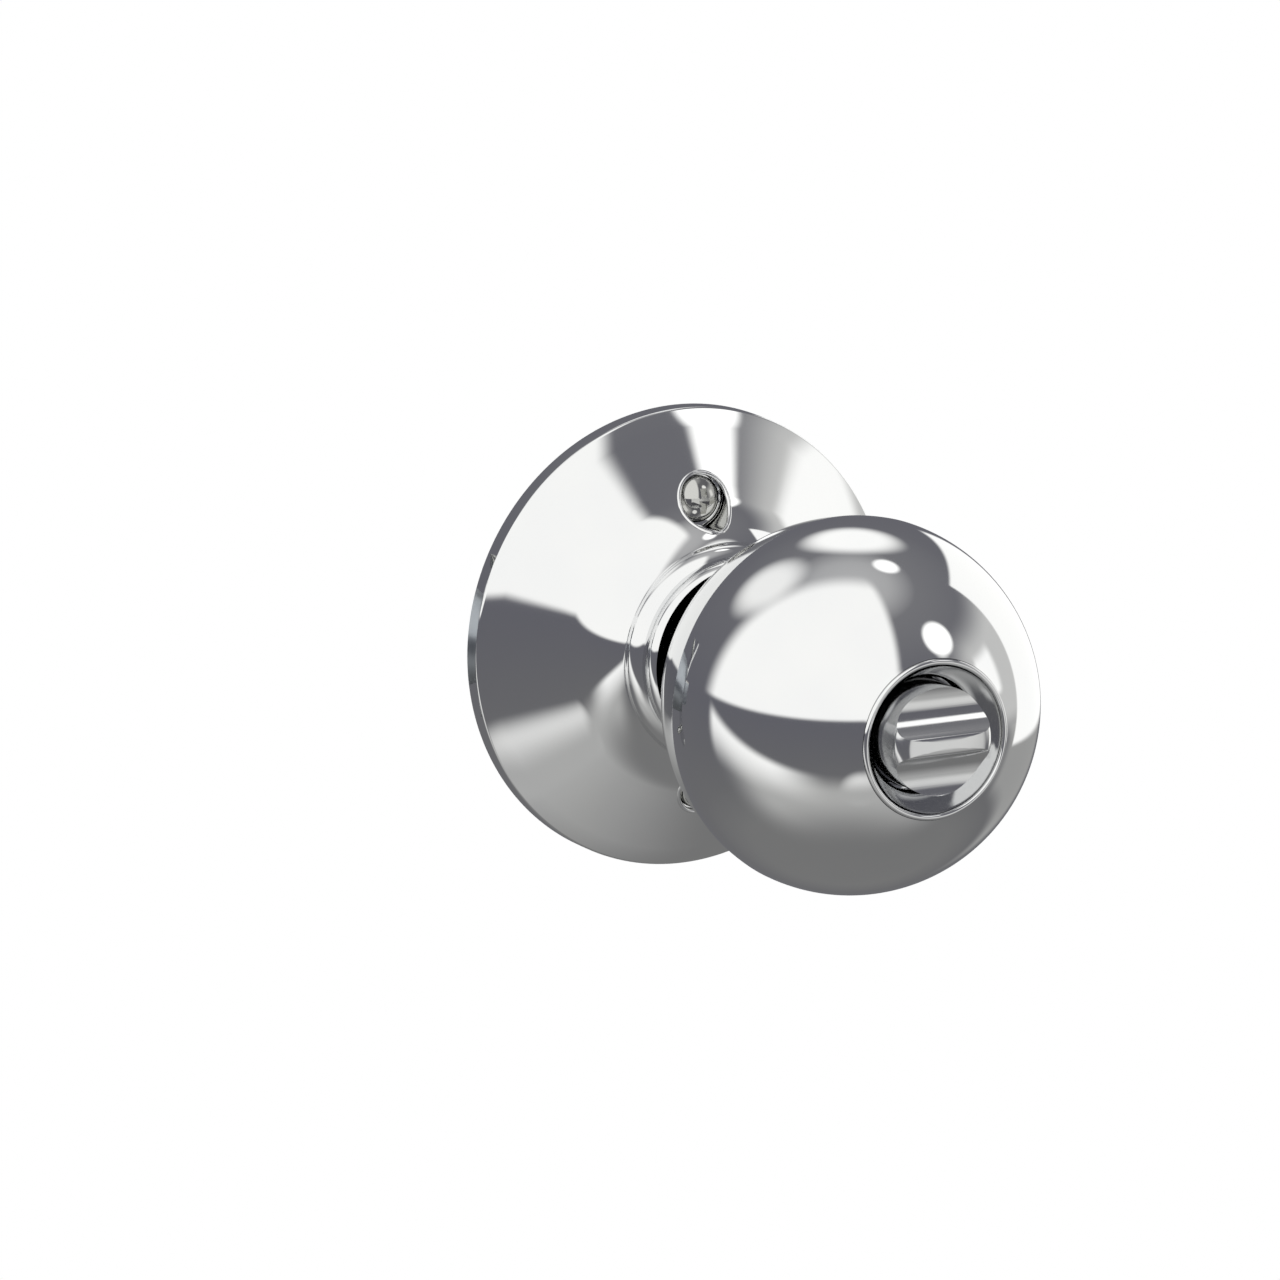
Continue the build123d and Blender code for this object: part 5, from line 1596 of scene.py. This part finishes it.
    def rescale(
        self,
        tree: bpy.types.NodeTree,
        value: bpy.types.NodeSocket,
        low: float,
        high: float,
        rise: str = "SMOOTHSTEP",
    ) -> bpy.types.NodeSocket:
        """Turn a range of values into 0 to 1.

        Args:
            tree: Node tree to work in.
            value: Output to rescale.
            low: Value that gives 0.
            high: Value that gives 1.
            rise: "SMOOTHSTEP" or "LINEAR".

        Returns:
            The output that rises from 0 to 1.
        """
        ranged = add_node(
            tree,
            "ShaderNodeMapRange",
            settings={"interpolation_type": rise},
            inputs={"Value": value, "From Min": low, "From Max": high},
        )
        return ranged.outputs["Result"]

    def combine(
        self,
        tree: bpy.types.NodeTree,
        operation: str,
        first: bpy.types.NodeSocket,
        second: bpy.types.NodeSocket,
    ) -> bpy.types.NodeSocket:
        """Return the output of two values put together by a Math operation."""
        return add_node(tree, "ShaderNodeMath", {"operation": operation}, {0: first, 1: second}).outputs[0]

    def lit(
        self, tree: bpy.types.NodeTree, under: bpy.types.NodeSocket, mask: bpy.types.NodeSocket, level: float
    ) -> bpy.types.NodeSocket:
        """Lay a light of one level over what is there.

        Args:
            tree: Node tree of the dome.
            under: Output that holds what is there.
            mask: Output that is 1 where the light is.
            level: Brightness of the light.

        Returns:
            The output with both.
        """
        light = (level, level, level * self.warmth, 1.0)
        inputs = {"Factor": mask, 6: under, 7: light}
        return add_node(tree, "ShaderNodeMix", {"data_type": "RGBA"}, inputs).outputs[2]

    def backdrop_material(self, name: str, one_sided: bool) -> bpy.types.Material:
        """Build a plain white that the camera sees as white.

        Args:
            name: Name of the material.
            one_sided: Whether the back lets everything through.

        Returns:
            The material.
        """
        material = bpy.data.materials.new(name)
        material.use_nodes = True
        tree = material.node_tree
        tree.nodes.clear()
        white = add_node(tree, "ShaderNodeEmission", inputs={"Color": WHITE, "Strength": 1.0}).outputs[0]
        if one_sided:
            clear = add_node(tree, "ShaderNodeBsdfTransparent").outputs[0]
            behind = add_node(tree, "ShaderNodeNewGeometry").outputs["Backfacing"]
            result = self.mixed(tree, behind, self.mixed(tree, self.seen(tree), clear, white), clear)
        else:
            grey = (self.floor_grey, self.floor_grey, self.floor_grey, 1.0)
            paint = add_node(tree, "ShaderNodeBsdfDiffuse", inputs={"Color": grey}).outputs[0]
            result = self.mixed(tree, self.seen(tree), paint, white)
        add_node(tree, "ShaderNodeOutputMaterial", inputs={"Surface": result})
        return material

    def door_face(self) -> None:
        """Build the plain white face that the inside rose stands on."""
        deselect()
        bpy.ops.mesh.primitive_plane_add(
            size=self.wall_size, location=(0, self.wall_gap, 0), rotation=(math.pi / 2, 0, 0)
        )
        wall = bpy.context.object
        wall.name = "door_face"
        bpy.ops.object.transform_apply(location=True, rotation=True, scale=True)
        wall.data.materials.append(self.backdrop_material("plain_white_door_face", True))

    def floor(self) -> None:
        """Build the pale floor at a door knob's real height below the lock."""
        deselect()
        bpy.ops.mesh.primitive_plane_add(size=self.floor_size, location=(0, 0, self.floor_height))
        floor = bpy.context.object
        floor.name = "pale_floor"
        bpy.ops.object.transform_apply(location=True, rotation=True, scale=True)
        floor.data.materials.append(self.backdrop_material("plain_pale_floor", False))
        floor.visible_glossy = False

    def camera(self) -> None:
        """Place the camera at the photograph's viewing angle."""
        data = bpy.data.cameras.new("photo_camera")
        data.lens = self.camera_lens
        data.sensor_width = self.sensor
        data.clip_start = 0.01
        data.clip_end = 100.0
        camera = bpy.data.objects.new("photo_camera", data)
        bpy.context.scene.collection.objects.link(camera)
        camera.location = self.camera_place
        camera.rotation_euler = (-Vector(self.camera_back)).to_track_quat("-Z", "Y").to_euler()
        bpy.context.scene.camera = camera


def main() -> None:
    """Build every piece, dress the nodes, set up the studio and log each piece's face count."""
    bpy.context.scene.view_settings.view_transform = "Standard"
    finishes = Finishes()
    for side in Side:
        for piece in RoseCover(side).build(finishes):
            LOG.info("rose: %s, %d faces", piece.name, len(piece.data.polygons))
        knob = BallKnob(side).build(finishes)
        LOG.info("knob: %s, %d faces", knob.name, len(knob.data.polygons))
    screw_places = [Vector((0, 0, z * MM)) for z in (SCREW_Z, -SCREW_Z)]
    mounting = CrossScrew("mounting_screw_pair", "mounting_screws", screw_places)
    pieces = [
        RecessCup().build(finishes),
        TurnButton().build(finishes),
        mounting.build(finishes),
        LatchFace().build(finishes),
        *LatchBolt().build(finishes),
        KeyInPlug().build(finishes),
    ]
    for piece in pieces:
        LOG.info("piece: %s, %d faces", piece.name, len(piece.data.polygons))
    dress_nodes(finishes)
    Studio().build()


if __name__ == "__main__":
    main()
